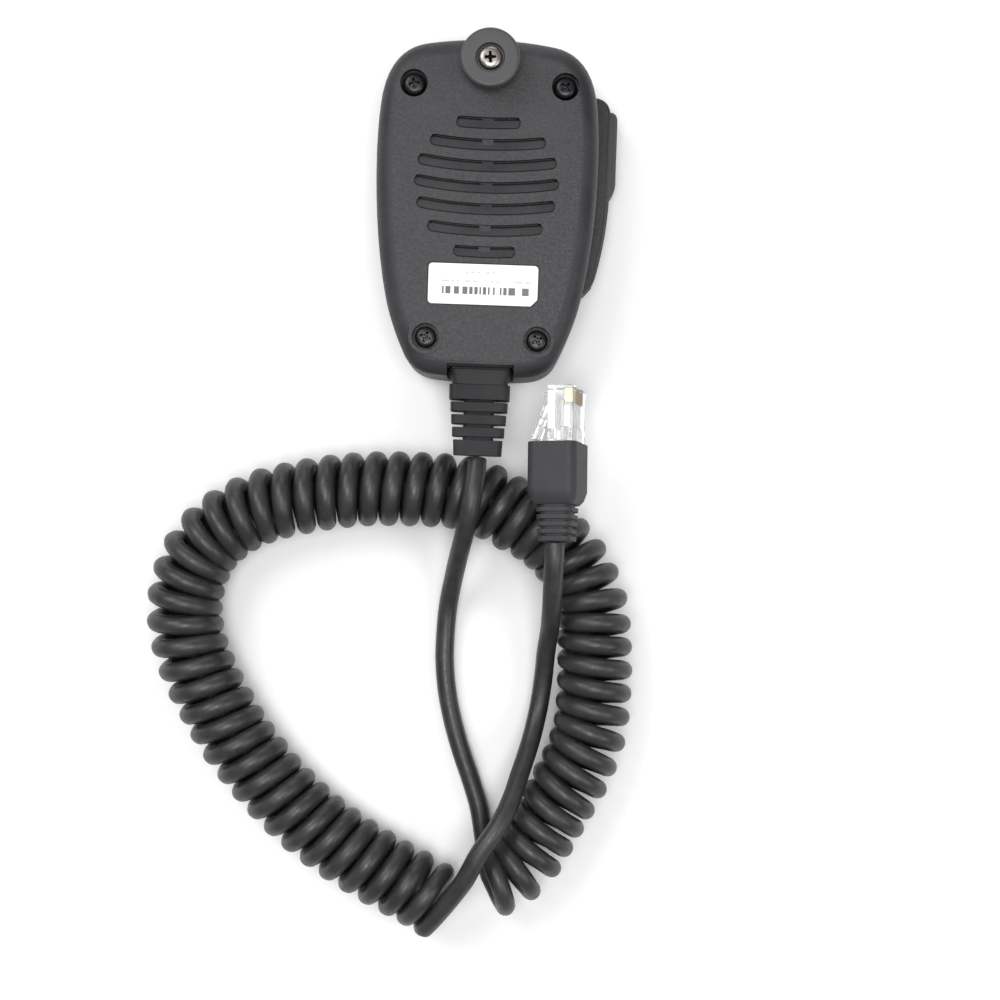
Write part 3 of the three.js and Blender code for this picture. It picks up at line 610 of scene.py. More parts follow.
@dataclass(frozen=True)
class LabelFinish(Finish):
    """White printed film with generic dashes and a row of bars instead of lettering.

    The rows are laid out in millimetres from the label's middle.
    """

    middle: tuple[float, float] = (0.0, 0.0)
    ink: Colour = (0.05, 0.05, 0.05)

    def row(self, sheet: Sheet, across: object, up: object, height: float, centre: float, half: float,
            pitch: float, cut: float) -> bpy.types.NodeSocket:
        """Return the mask of one printed row.

        Args:
            sheet: The material's sheet.
            across: Distance to the right of the label's middle.
            up: Distance above the label's middle.
            height: Half the row's height.
            centre: The row's height above the middle.
            half: Half the row's length.
            pitch: Marks per metre.
            cut: Share of the marks that is left blank.
        """
        inside = sheet.math("LESS_THAN", sheet.math("ABSOLUTE", sheet.math("SUBTRACT", up, centre)), height)
        within = sheet.math("LESS_THAN", sheet.math("ABSOLUTE", across), half)
        cell = sheet.math("FLOOR", sheet.math("MULTIPLY", across, pitch))
        mix = sheet.node("CombineXYZ", {"X": cell, "Y": centre * 900.0})
        chance = sheet.node("TexWhiteNoise", {"Vector": mix.outputs[0]}, noise_dimensions="3D")
        printed = sheet.math("GREATER_THAN", chance.outputs["Value"], cut)
        return sheet.math("MULTIPLY", sheet.math("MULTIPLY", inside, within), printed)

    def dress(self, sheet: Sheet, surface: bpy.types.Node) -> None:
        """Fill in the material's nodes."""
        place = sheet.node("TexCoord").outputs["Object"]
        axes = sheet.node("SeparateXYZ", {"Vector": place})
        across = sheet.math("SUBTRACT", axes.outputs["X"], self.middle[0])
        up = sheet.math("SUBTRACT", axes.outputs["Y"], self.middle[1])
        bars = self.row(sheet, across, up, 0.95 * MM, -1.6 * MM, 12.0 * MM, 2300.0, 0.48)
        dashes = self.row(sheet, across, up, 0.22 * MM, 0.75 * MM, 12.2 * MM, 1500.0, 0.5)
        title = self.row(sheet, across, up, 0.24 * MM, 3.0 * MM, 4.6 * MM, 1300.0, 0.55)
        colour, shade = self.toned(sheet, place, (*self.colour, 1.0))
        faint = sheet.math("MULTIPLY", sheet.math("MAXIMUM", dashes, title), 0.42)
        strong = sheet.math("MULTIPLY", bars, 0.95)
        inked = sheet.blend(sheet.math("MAXIMUM", faint, strong), colour, (*self.ink, 1.0))
        rough = sheet.math("ADD", sheet.math("MULTIPLY", shade, 0.1), self.roughness)
        sheet.feed(surface.inputs["Base Color"], inked)
        sheet.feed(surface.inputs["Roughness"], rough)


CASE = Finish("case_plastic", (0.018, 0.018, 0.021), roughness=0.5, grain_scale=2600.0, grain_depth=0.00006,
              dust=0.03, scuffs=0.015, specular=0.34)
STUD = Finish("stud_plastic", (0.036, 0.036, 0.039), roughness=0.45, grain_scale=4200.0, grain_depth=0.00002,
              dust=0.04, scuffs=0.02)
KEYS = Finish("key_plastic", (0.02, 0.02, 0.023), roughness=0.45, grain_scale=3600.0, grain_depth=0.00003,
              dust=0.04, scuffs=0.02)
SLEEVE = Finish("relief_rubber", (0.012, 0.012, 0.014), roughness=0.58, grain_scale=3800.0, grain_depth=0.00002,
                dust=0.03, scuffs=0.01, specular=0.24)
BOOT = Finish("boot_rubber", (0.022, 0.022, 0.025), roughness=0.6, grain_scale=3800.0, grain_depth=0.00002,
              dust=0.04, scuffs=0.02, specular=0.38)
JACKET = Finish("cord_jacket", (0.017, 0.017, 0.019), roughness=0.42, grain_scale=1500.0, grain_depth=0.00002,
                tone_scale=180.0, tone_amount=0.05,
                dust=0.03, scuffs=0.01)
BLACK_SCREW = Finish("black_screw", (0.012, 0.012, 0.014), roughness=0.32, metallic=0.6, grain_depth=0.000015,
                     dust=0.02, scuffs=0.02)
# the nickel screw head is painted near black below 36.6 mm, as shade in its cross recess
NICKEL = Finish("nickel_plate", (0.27, 0.24, 0.22), roughness=0.32, metallic=1.0, grain_depth=0.000006,
                tone_amount=0.2, scuffs=0.05, dust=0.02, shade_below_height=0.0366)
STEEL = Finish("plain_steel", (0.55, 0.55, 0.56), roughness=0.34, metallic=1.0, grain_depth=0.00001)
BRASS = Finish("brass_fitting", (0.72, 0.55, 0.26), roughness=0.3, metallic=1.0, grain_depth=0.00001)
GILT = Finish("gilt_contacts", (0.66, 0.47, 0.22), roughness=0.38, metallic=1.0, grain_depth=0.000006)
CAN = Finish("capsule_can", (0.68, 0.68, 0.7), roughness=0.3, metallic=1.0, grain_depth=0.00001)
BOARD = Finish("board_laminate", (0.03, 0.13, 0.06), roughness=0.35, grain_scale=900.0, grain_depth=0.00003,
               tone_scale=400.0, tone_amount=0.25)
PARTS = Finish("component_black", (0.02, 0.02, 0.021), roughness=0.42)
NYLON = Finish("natural_nylon", (0.72, 0.7, 0.63), roughness=0.4)
CLEAR = ClearFinish("clear_plastic", (0.96, 0.97, 0.97), roughness=0.03, roughness_spread=0.05,
                    grain_scale=420.0, grain_depth=0.00005, tone_amount=0.02, ior=1.49)
CLOTH = WovenFinish("grille_cloth", (0.012, 0.012, 0.013), roughness=0.85, grain_depth=0.0001)


def dressed(item: bpy.types.Object, finish: Finish) -> bpy.types.Object:
    """Give an object one finish in place of what it had."""
    item.data.materials.clear()
    item.data.materials.append(finish.material())
    return item


def settle(item: bpy.types.Object, finish: Finish, body: Body = Body.CASE,
           nodes: Sequence[str] = ()) -> bpy.types.Object:
    """Dress a finished piece, put it on its body and say what it stands for.

    Args:
        item: The finished piece.
        finish: Its surface.
        body: The rigid body that it moves with.
        nodes: The CAD nodes that it replaces.

    Returns:
        The piece.
    """
    dressed(item, finish)
    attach(item, body.value)
    if nodes:
        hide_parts(*nodes)
    LOG.info("piece %s rides on %s", item.name, body.value)
    return item


# ---------------------------------------------------------------- the set


@dataclass(frozen=True)
class SoftBox:
    """One soft area light, aimed at the middle of the object."""

    name: str
    place: tuple[float, float, float]
    size: float
    power: float
    tint: Colour = (1.0, 1.0, 1.0)


@dataclass
class Studio:
    """Camera, soft light and a pale floor, seen from straight above."""

    eye: tuple[float, float, float] = (6.25, -75.5, 480.0)
    turn: float = 2.0
    lens: float = 64.0
    floor_half: float = 1.5
    floor_drop: float = 0.0003
    sky: float = 0.34
    boxes: list[SoftBox] = field(default_factory=lambda: [
        SoftBox("overhead_light", (0.0, -0.15, 1.15), 0.6, 7.5, (1.0, 1.0, 1.0)),
        SoftBox("key_light", (-0.6, 0.4, 0.9), 0.7, 6.0, (1.0, 1.0, 1.0)),
        SoftBox("fill_light", (0.75, -0.35, 0.8), 0.6, 3.0, (1.0, 1.0, 1.0)),
        SoftBox("rim_light", (0.1, 0.95, 0.35), 0.5, 1.6, (1.0, 1.0, 1.0)),
    ])

    def camera(self) -> bpy.types.Object:
        """Make the camera and make it the scene's own."""
        data = bpy.data.cameras.new("camera")
        data.lens = self.lens
        data.sensor_width = 36.0
        data.clip_start, data.clip_end = 0.01, 20.0
        item = add_to_scene("camera", data)
        item.location = mm(*self.eye)
        item.rotation_euler = (0.0, 0.0, math.radians(self.turn))
        bpy.context.scene.camera = item
        return item

    def lights(self) -> None:
        """Hang the soft boxes and light the sky."""
        aim = mm(0.0, -60.0, 0.0)
        for box in self.boxes:
            data = bpy.data.lights.new(box.name, "AREA")
            data.shape = "DISK"
            data.size = box.size
            data.energy = box.power
            data.color = box.tint
            item = add_to_scene(box.name, data)
            item.location = Vector(box.place)
            item.rotation_euler = (aim - Vector(box.place)).to_track_quat("-Z", "Y").to_euler()
        world = bpy.data.worlds.new("studio")
        world.use_nodes = True
        backdrop = next(node for node in world.node_tree.nodes if node.type == "BACKGROUND")
        backdrop.inputs["Color"].default_value = (1.0, 1.0, 1.0, 1.0)
        backdrop.inputs["Strength"].default_value = self.sky
        bpy.context.scene.world = world
        bpy.context.scene.view_settings.view_transform = "Standard"

    def floor(self) -> bpy.types.Object:
        """Lay the pale floor just under the object."""
        shape = bmesh.new()
        bmesh.ops.create_grid(shape, x_segments=1, y_segments=1, size=self.floor_half)
        bmesh.ops.translate(shape, verts=shape.verts, vec=(0, 0, -self.floor_drop))
        item = object_from("floor", shape, clean=False)
        paper = Finish("pale_paper", (0.9, 0.9, 0.905), roughness=0.85, grain_scale=700.0, grain_depth=0.00002,
                       tone_amount=0.02, dust=0.0, scuffs=0.0, roughness_spread=0.02, specular=0.1)
        dressed(item, paper)
        return item


# ---------------------------------------------------------------- the cord


@dataclass
class CurlyCord:
    """The whole cord as one line: lead, left-handed helix and lead."""

    diameter: float = 5.0
    helix_radius: float = 7.5
    turns: int = 56
    points_per_turn: int = 22
    start_turn: float = -90.0  # degrees round the axis, from the side towards the top
    end_turn: float = -203.0
    lead_step: float = 1.6
    exit: tuple[float, float, float] = (0.0, -64.6, 20.3)
    mic_lead: tuple = (
        (0, -65.25, 20.45), (-0.2, -69.0, 21.7), (-0.9, -74.5, 23.0), (-1.8, -80, 21.9), (-3.0, -86, 18.0),
        (-4.4, -92, 12.5), (-5.6, -98, 7.2), (-6.6, -104, 3.9), (-7.1, -111, 2.7), (-7.1, -119, 2.6),
        (-6.2, -127, 2.6), (-4.4, -135, 2.6), (-1.9, -143, 2.6), (1.1, -151, 2.6), (3.4, -158, 2.6),
        (4.6, -164, 2.6))
    axis: tuple = (
        (6.9, -176.3, 10), (9.6, -175.2, 10), (13.2, -172.6, 10), (15.8, -169.9, 10), (18.8, -164.8, 10),
        (22.9, -156.9, 10), (28.3, -146.7, 10), (31.9, -136.2, 10), (32.8, -124.6, 10), (32.4, -111.9, 10),
        (30.7, -100.8, 10), (25.8, -91.2, 10), (18.4, -83.8, 10), (9.5, -79.1, 10), (-0.4, -74.6, 10),
        (-10.0, -73.5, 10), (-26.9, -73.7, 10), (-37.7, -74.9, 10), (-47.1, -76.8, 10), (-56.6, -79.5, 10),
        (-65.4, -84.3, 10), (-71.8, -90.9, 10), (-75.2, -99.5, 10), (-76.0, -108.0, 10), (-74.3, -116.7, 10),
        (-71.1, -124.5, 10), (-66.4, -132.8, 10), (-61.3, -140.8, 10), (-55.2, -148.2, 10), (-48.1, -155.7, 10),
        (-39.9, -162.8, 10), (-30.7, -169.1, 10), (-21.0, -174.6, 10), (-11.4, -179.4, 10), (-6.0, -182.6, 10))
    plug_lead: tuple = (
        (-0.1, -175.0, 20.8), (4.0, -166.8, 22.6), (8.4, -160.1, 22.0), (11.7, -153.6, 18.8), (14.1, -146.6, 14.2),
        (16.6, -138.9, 9.2), (18.4, -130.7, 6.6), (19.4, -122.4, 7.4), (19.8, -115.0, 11.0), (20.4, -109.0, 15.9),
        (20.5, -104.0, 21.3), (20.5, -99.5, 24.8), (20.5, -95.5, 26.9), (20.5, -91.8, 28.2), (20.55, -88.6, 28.8),
        (20.55, -86.1, 28.66))

    def helix(self) -> list[Vector]:
        """Wind the helix round its axis, from the first lead's end to the start of the plug's lead."""
        sweep = math.radians(self.end_turn - 360.0 * self.turns - self.start_turn)
        count = round(abs(sweep) / math.tau * self.points_per_turn)
        spine = smooth_path([mm(*point) for point in self.axis], 0.4 * MM)
        length = len(spine) - 1
        wound = []
        for i in range(count + 1):
            place = length * i / count
            leg = min(int(place), length - 1)
            centre = spine[leg].lerp(spine[leg + 1], place - leg)
            ahead = spine[min(leg + 6, length)] - spine[max(leg - 5, 0)]
            along = ahead.normalized()
            side = Vector((-along.y, along.x, 0.0))
            angle = math.radians(self.start_turn) + sweep * i / count
            swing = side * math.cos(angle) + Vector((0, 0, 1)) * math.sin(angle)
            wound.append(centre + swing * self.helix_radius * MM)
        return wound

    def centreline(self) -> list[Vector]:
        """Return the cord's middle line from the strain relief to the boot."""
        wound = self.helix()
        head = smooth_path([mm(*point) for point in self.mic_lead] + wound[:3:2], self.lead_step * MM)
        tail = smooth_path([wound[-3], wound[-1]] + [mm(*point) for point in self.plug_lead], self.lead_step * MM)
        head = [point for point in head if (point - wound[0]).length > 0.6 * self.lead_step * MM]
        while (head[-1] - wound[0]).dot(wound[1] - wound[0]) > 0:
            head.pop()
        last, ahead, past = wound[-1], wound[-1] - wound[-2], 0.3 * MM * MM
        first = next(i for i, point in enumerate(tail) if (point - last).dot(ahead) > past)
        return head + wound + tail[first:]

    def build(self, pieces: Sequence[bpy.types.Object]) -> bpy.types.Object:
        """Args:
            pieces: The pieces of the plug at its far end. Not used.

        Returns:
            The cord's curve object.
        """
        line = self.centreline()
        data = bpy.data.curves.new("coiled_cord", "CURVE")
        data.dimensions = "3D"
        data.bevel_depth = self.diameter / 2 * MM
        data.bevel_resolution = 7
        data.use_fill_caps = True
        spline = data.splines.new("POLY")
        spline.points.add(len(line) - 1)
        for spot, point in zip(spline.points, line):
            spot.co = (*point, 1.0)
        spline.use_smooth = True
        item = settle(add_to_scene("coiled_cord", data), JACKET,
                      nodes=("mic_lead", "curly_cord", "plug_lead"))
        LOG.info("cord length %.3f m in %d points", path_length(line), len(line))
        return item


# ---------------------------------------------------------------- the case


@dataclass
class CaseShell:
    """The two covers, their louvres, screw wells and the frame of the talk bar. Millimetres."""

    wall: float = 2.0
    parting: float = 13.4
    gap: float = 0.3
    back_at_origin: float = 27.4
    back_rise: float = 0.061
    edge_round: float = 4.8
    front_round: float = 1.6
    outline_steps: int = 10
    half_outline: tuple = (
        ((0, 42.0), (6, 42.0), (11.5, 41.5), (16.5, 40.6)),
        ((16.5, 40.6), (21.5, 39.7), (26.9, 36.0), (27.9, 24.5)),
        ((27.9, 24.5), (29.1, 13.5), (28.6, -8), (25.1, -24)),
        ((25.1, -24), (23.9, -29.5), (21.9, -34.5), (19.8, -38.8)),
        ((19.8, -38.8), (18.4, -41.7), (16, -43.2), (12.5, -43.7)),
        ((12.5, -43.7), (9, -44.1), (4, -44.2), (0, -44.2)))
    louvre_radius: float = 105.0
    louvre_pitch: float = 5.42
    louvre_height: float = 3.0
    louvre_depth: float = 1.45
    bridge: float = 1.45
    slit: float = 0.75
    rim: float = 0.34
    back_row_start: float = 20.0
    back_row: tuple = (16.5, 29.7, 35.6, 37.2, 35.6, 29.7, 16.0)
    front_row_start: float = 31.0
    front_row: tuple = (17, 26, 29, 26, 17)
    screw_places: tuple = ((-19.25, 29.5), (19.25, 29.8), (-14.3, -34.4), (14.3, -34.4))
    sink_radius: float = 3.5
    sink_depth: float = 2.6
    post_radius: float = 4.4
    front_post_radius: float = 3.2
    screw_bore: float = 1.7
    board_posts: tuple = ((-12.6, -25, 10.7), (12.6, -25, 10.7), (-12.6, 3, 10.7), (12.6, 3, 10.7),
                          (-5.2, -35.4, 12.6), (5.2, -35.4, 12.6))
    stud_y: float = 34.8
    stud_bore: float = 1.9
    relief_notch: tuple = ((-8.6, -50, 8.3), (8.6, -40.9, 30))
    lever_pocket: tuple = ((23.4, -20.2, 2.7), (60, 29.8, 10.5))
    key_x: float = 4.8
    key_half: float = 4.7
    key_hole: tuple = (3.3, 8.9)

    def back_height(self, y: float) -> float:
        """Return the height of the sloping back at a place along the case."""
        return self.back_at_origin + self.back_rise * y

    def outline(self, inset: float = 0.0) -> list[Vector]:
        """Return the case's outline, moved inwards if asked, in metres."""
        right = []
        for start, pull, lead, end in self.half_outline:
            knots = [Vector((x, y, 0)) for x, y in (start, pull, lead, end)]
            right.extend(interpolate_bezier(*knots, self.outline_steps + 1)[:-1])
        right.append(Vector((0, self.half_outline[-1][-1][1], 0)))
        left = [Vector((-point.x, point.y, 0)) for point in reversed(right[1:-1])]
        ring = right + left
        moved = []
        for i, point in enumerate(ring):
            along = (ring[(i + 1) % len(ring)] - ring[i - 1]).normalized()
            moved.append((point + Vector((along.y, -along.x, 0)) * inset) * MM)
        return moved

    def slope(self, shape: bmesh.types.BMesh) -> bmesh.types.BMesh:
        """Stretch a block above the parting so that its top follows the sloping back."""
        for vert in shape.verts:
            share = (self.back_height(vert.co.y / MM) - self.parting) / (self.back_at_origin - self.parting)
            if vert.co.z > self.parting * MM:
                vert.co.z = self.parting * MM + (vert.co.z - self.parting * MM) * share
        return shape

    def block(self, inset: float, low: float, high: float, rounding: float, at: float) -> bmesh.types.BMesh:
        """Extrude the outline and round one of its ends."""
        shape = ring_prism(self.outline(inset), low * MM, high * MM)
        bmesh.ops.bevel(shape, geom=edges_at_height(shape, at * MM), offset=rounding * MM, offset_type="OFFSET",
                        affect="EDGES", segments=9, profile=0.5, material=-1, clamp_overlap=False)
        return shape

    def post(self, x: float, y: float, radius: float, low: float, high: float) -> bmesh.types.BMesh:
        """Make a round post or cutter along Z."""
        profile = [(0, low * MM), (radius * MM, low * MM), (radius * MM, high * MM), (0, high * MM)]
        return turned_piece(profile, mm(x, y, 0), 40)

    def band(self, y: float, length: float, below: float, above: float, half_gap: float = 0.0) -> list[Vector]:
        """Return the ring of a curved strip with round ends.

        Args:
            y: Where the strip's middle line crosses the case's middle.
            length: The strip's length.
            below: How far it reaches below the middle line.
            above: How far it reaches above the middle line.
            half_gap: Where the strip starts, right of the middle, or 0 for a strip on both sides.
        """
        middle, half = (above - below) / 2, (above + below) / 2
        radius, centre = self.louvre_radius - middle, y + self.louvre_radius
        end = (length / 2 - half) / self.louvre_radius
        start = (half_gap + half) / self.louvre_radius if half_gap else -end

        def at(distance: float, angle: float) -> Vector:
            return Vector((distance * math.sin(angle), centre - distance * math.cos(angle), 0))

        steps, cap = 16, 8
        ring = [at(radius + half, start + (end - start) * i / steps) for i in range(steps + 1)]
        for middle_angle, way in ((end, 1), (start, -1)):
            hub = at(radius, middle_angle)
            for i in range(1, cap):
                turn = math.pi * i / cap
                out = Vector((math.sin(middle_angle), -math.cos(middle_angle), 0))
                ahead = Vector((math.cos(middle_angle), math.sin(middle_angle), 0))
                ring.append(hub + (out * math.cos(turn) + ahead * math.sin(turn)) * half * way)
            if way == 1:
                ring.extend(at(radius - half, end + (start - end) * i / steps) for i in range(steps + 1))
        return [point * MM for point in ring]

    @staticmethod
    def on_side(ring: list[Vector], side: Side) -> list[Vector]:
        """Return a ring drawn right of the middle line, mirrored if it belongs on the left."""
        if side is Side.RIGHT:
            return ring
        return [Vector((-point.x, point.y, 0)) for point in reversed(ring)]

    def back_louvre_tools(self) -> tuple[bpy.types.Object, bpy.types.Object, bpy.types.Object]:
        """Return the cutters of the louvres' recesses, the cutters of their slits and the pads in them."""
        recess, slits, pads = bmesh.new(), bmesh.new(), bmesh.new()
        half = self.louvre_height / 2
        for i, length in enumerate(self.back_row):
            y = self.back_row_start - i * self.louvre_pitch
            surface = self.back_height(y)
            self.add(recess, ring_prism(self.band(y, length, half, half), (surface - self.louvre_depth) * MM,
                                        (surface + 3) * MM))
            for side in Side:
                ring = self.band(y, length - 2 * self.rim, self.slit - half, half - self.rim / 2, self.bridge)
                ring = self.on_side(ring, side)
                self.add(slits, ring_prism(ring, (surface - 6) * MM, (surface + 3) * MM))
            pad = ring_prism(self.band(y, length - 2.4 * self.rim, half - self.rim, half - self.slit),
                             (surface - self.louvre_depth - 0.2) * MM, (surface - 0.12) * MM)
            self.tilt_pad(pad, y)
            self.add(pads, pad)
            tongue = block(mm(-self.bridge, y - 0.2, surface - self.louvre_depth - 0.2),
                           mm(self.bridge, y + half - 0.05, surface - 0.42))
            self.add(pads, tongue)
        return object_from("recess", recess), object_from("slits", slits), object_from("pads", pads)

    def tilt_pad(self, pad: bmesh.types.BMesh, y: float) -> None:
        """Let a pad's top fall away towards its slit."""
        centre = (y + self.louvre_radius) * MM
        top = max(vert.co.z for vert in pad.verts)
        for vert in pad.verts:
            if top - vert.co.z < 1e-6:
                fall = self.louvre_radius * MM - math.hypot(vert.co.x, vert.co.y - centre) + self.louvre_height / 2 * MM
                vert.co.z -= 0.2 * fall

    @staticmethod
    def add(whole: bmesh.types.BMesh, piece: bmesh.types.BMesh) -> None:
        """Move one bmesh into another."""
        mesh = bpy.data.meshes.new("part")
        piece.to_mesh(mesh)
        piece.free()
        whole.from_mesh(mesh)
        bpy.data.meshes.remove(mesh)

    def cut(self, item: bpy.types.Object, shape: bmesh.types.BMesh) -> None:
        """Cut a closed shape out of a cover."""
        combine(item, object_from("cutter", shape), "DIFFERENCE")

    def join(self, item: bpy.types.Object, shape: bmesh.types.BMesh) -> None:
        """Join a closed shape to a cover."""
        combine(item, object_from("addition", shape), "UNION")

    def posts(self, places: Iterable[tuple], radius: float, low: float, high: float) -> bmesh.types.BMesh:
        """Make the same post at several places."""
        whole = bmesh.new()
        for x, y in places:
            self.add(whole, self.post(x, y, radius, low, high))
        return whole

    def back(self) -> bpy.types.Object:
        """Build the rear cover."""
        top, foot = self.back_at_origin, self.parting
        item = object_from("back_shell", self.slope(self.block(0, foot, top, self.edge_round, top)))
        inner = self.block(self.wall, foot - 2, top - self.wall, self.edge_round - 1, top - self.wall)
        self.cut(item, self.slope(inner))
        self.join(item, self.posts(self.screw_places, self.post_radius, foot + 0.15, top - 2))
        sinks = bmesh.new()
        for x, y in self.screw_places:
            well = self.back_height(y) - self.sink_depth
            self.add(sinks, self.post(x, y, self.sink_radius, well, well + 8))
        self.cut(item, sinks)
        self.cut(item, self.posts(self.screw_places, self.screw_bore, 0, 50))
        self.cut(item, self.post(0, self.stud_y, self.stud_bore, 10, 60))
        recess, slits, pads = self.back_louvre_tools()
        combine(item, recess, "DIFFERENCE")
        combine(item, slits, "DIFFERENCE")
        combine(item, pads, "UNION")
        self.cut(item, IdLabel().solid(self, 0.3, -IdLabel.pocket, 5.0))
        self.cut(item, block(mm(*self.relief_notch[0]), mm(*self.relief_notch[1])))
        tidy_surface(item, 0.16 * MM)
        return settle(item, CASE, nodes=("rear_cover",))

    def housing(self) -> bmesh.types.BMesh:
        """Build the bulge of the front cover that frames the talk bar."""
        runs = [((28.4, 31.0), (31.4, 30.2), (31.8, 27.1)), ((31.6, 4), (31.4, -6), (28.6, -18))]
        ring = [Vector((24, 31.0, 0))]
        for start, pull, end in runs:
            ring.extend(quadratic(start, pull, end, 8))
        ring.extend([Vector((26.5, -20.5, 0)), Vector((24, -20.5, 0))])
        shape = ring_prism([point * MM for point in ring], 1.2 * MM, (self.parting - self.gap) * MM)
        flat = edges_at_height(shape, 1.2 * MM) + edges_at_height(shape, (self.parting - self.gap) * MM)
        bevel(shape, flat, 0.9 * MM, 4)
        return shape

    def front(self) -> bpy.types.Object:
        """Build the front cover."""
        top = self.parting - self.gap
        item = object_from("front_shell", self.block(0, 0, top, self.front_round, 0))
        self.join(item, self.housing())
        self.cut(item, self.block(self.wall, self.wall, top + 5, self.front_round, self.wall))
        self.join(item, self.posts(self.screw_places, self.front_post_radius, 1, top))
        for x, y, high in self.board_posts:
            self.join(item, self.post(x, y, 2.15, 1, high))
        self.cut(item, self.posts(self.screw_places, self.screw_bore, 4, 50))
        self.cut(item, self.posts([spot[:2] for spot in self.board_posts], 1.2, 4, 50))
        self.cut(item, block(mm(*self.lever_pocket[0]), mm(*self.lever_pocket[1])))
        for side in Side:
            middle = side.value * self.key_x
            self.cut(item, block(mm(middle - self.key_half, 39.0, self.key_hole[0]),
                                 mm(middle + self.key_half, 60, self.key_hole[1])))
        self.cut(item, block(mm(*self.relief_notch[0]), mm(*self.relief_notch[1])))
        slots = bmesh.new()
        half = self.louvre_height / 2
        for i, length in enumerate(self.front_row):
            for side in Side:
                ring = self.band(self.front_row_start - i * self.louvre_pitch, length, half, half, self.bridge)
                ring = self.on_side(ring, side)
                self.add(slots, ring_prism(ring, -5 * MM, 5 * MM))
        self.cut(item, slots)
        tidy_surface(item, 0.14 * MM)
        return settle(item, CASE, nodes=("front_cover",))


def quadratic(start: tuple, pull: tuple, end: tuple, steps: int) -> list[Vector]:
    """Return points on a curve with one control point, in millimetres."""
    a, b, c = (Vector((x, y, 0)) for x, y in (start, pull, end))
    return list(interpolate_bezier(a, a.lerp(b, 2 / 3), c.lerp(b, 2 / 3), c, steps + 1))


@dataclass
class IdLabel:
    """The printed film in its shallow pocket: round corners, one of them clipped. Millimetres."""

    width: float = 28.0
    height: float = 10.3
    thick: float = 0.35
    corner: float = 1.0
    clip: float = 1.7
    y: float = -20.7
    pocket: float = 0.5

    def ring(self, grow: float) -> list[Vector]:
        """Return the film's outline round its own middle."""
        w, h, r = self.width / 2 + grow, self.height / 2 + grow, self.corner
        ring = [Vector((w - self.clip, -h, 0)), Vector((w, -h + self.clip, 0))]
        for x, y, first in ((w - r, h - r, 0), (-w + r, h - r, 90), (-w + r, -h + r, 180)):
            for i in range(7):
                angle = math.radians(first + 15 * i)
                ring.append(Vector((x + r * math.cos(angle), y + r * math.sin(angle), 0)))
        return [point * MM for point in ring]

    def solid(self, shell: CaseShell, grow: float, low: float, high: float) -> bmesh.types.BMesh:
        """Make the film's outline solid between two heights above the back, tilted as the back is."""
        shape = ring_prism(self.ring(grow), low * MM, high * MM)
        tilt = Matrix.Rotation(math.atan(shell.back_rise), 4, "X")
        place = Matrix.Translation(mm(0, self.y, shell.back_height(self.y)))
        bmesh.ops.transform(shape, matrix=place @ tilt, verts=shape.verts)
        return shape

    def build(self, shell: CaseShell) -> bpy.types.Object:
        """Lay the film in its pocket."""
        low = 0.3 - self.pocket
        item = object_from("printed_label", self.solid(shell, 0.0, low, low + self.thick))
        tidy_surface(item, 0.05 * MM)
        film = LabelFinish("label_film", (0.82, 0.82, 0.81), roughness=0.38, tone_amount=0.03,
                           middle=(0.0, self.y * MM))
        return settle(item, film, nodes=("id_label",))


# ---------------------------------------------------------------- screws and the stud


@dataclass
class CrossScrew:
    """A cross-recessed screw that points down. Millimetres."""

    head_radius: float
    head_thick: float
    shank_radius: float

    def profile(self, head_low: float, tip: float) -> list[tuple[float, float]]:
        """Return the half section: pointed shank, flat under the head, domed top."""
        top = head_low + self.head_thick
        crown = self.head_radius * 0.5
        section = [(0, tip), (self.shank_radius * 0.6, tip), (self.shank_radius, tip + self.shank_radius)]
        section += [(self.shank_radius, head_low), (self.head_radius, head_low)]
        for i in range(7):
            angle = math.radians(15 * i)
            section.append((crown + (self.head_radius - crown) * math.cos(angle),
                            top - self.head_thick * 0.6 + self.head_thick * 0.6 * math.sin(angle)))
        section.append((0, top))
        return [(radius * MM, height * MM) for radius, height in section]

    def build(self, name: str, x: float, y: float, head_low: float, tip: float, turn: float) -> bpy.types.Object:
        """Make the screw.

        Args:
            name: The piece's name.
            x: Place of its axis across the case.
            y: Place of its axis along the case.
            head_low: Height of the underside of its head.
            tip: Height of its tip.
            turn: How far the cross is turned, in degrees.
        """
        item = object_from(name, turned_piece(self.profile(head_low, tip), mm(0, 0, 0), 48))
        reach, wing = self.head_radius * 0.62, self.head_radius * 0.16
        floor, over = head_low + self.head_thick * 0.15, head_low + self.head_thick + 1
        for length, width in ((reach, wing), (wing, reach)):
            arm = block(mm(-length, -width, floor), mm(length, width, over))
            lowest = [vert for vert in arm.verts if vert.co.z < (floor + 0.01) * MM]
            bmesh.ops.scale(arm, vec=(0.55, 0.55, 1.0), verts=lowest)
            combine(item, object_from("arm", arm), "DIFFERENCE")
        hub = turned_piece([(0, floor * MM - 0.3 * MM), (wing * 0.4 * MM, floor * MM), (wing * 2.4 * MM, over * MM),
                            (0, over * MM)], mm(0, 0, 0), 24)
        combine(item, object_from("hub", hub), "DIFFERENCE")
        item.data.transform(Matrix.Translation(mm(x, y, 0)) @ Matrix.Rotation(math.radians(turn), 4, "Z"))
        tidy_surface(item, 0.05 * MM, math.radians(30))
        return item


@dataclass
class CaseScrews:
    """The four black screws in their wells."""

    screw: CrossScrew = field(default_factory=lambda: CrossScrew(2.75, 1.7, 1.3))
    tip: float = 6.0
    turns: tuple = (12.0, 47.0, 70.0, 31.0)

    def build(self, shell: CaseShell) -> None:
        """Drive the screws in."""
        for i, ((x, y), turn) in enumerate(zip(shell.screw_places, self.turns)):
            foot = shell.back_height(y) - shell.sink_depth + shell.gap
            item = self.screw.build(f"cover_screw_{i + 1}", x, y, foot, self.tip, turn)
            settle(item, BLACK_SCREW, nodes=(f"case_screw_{i + 1}",))


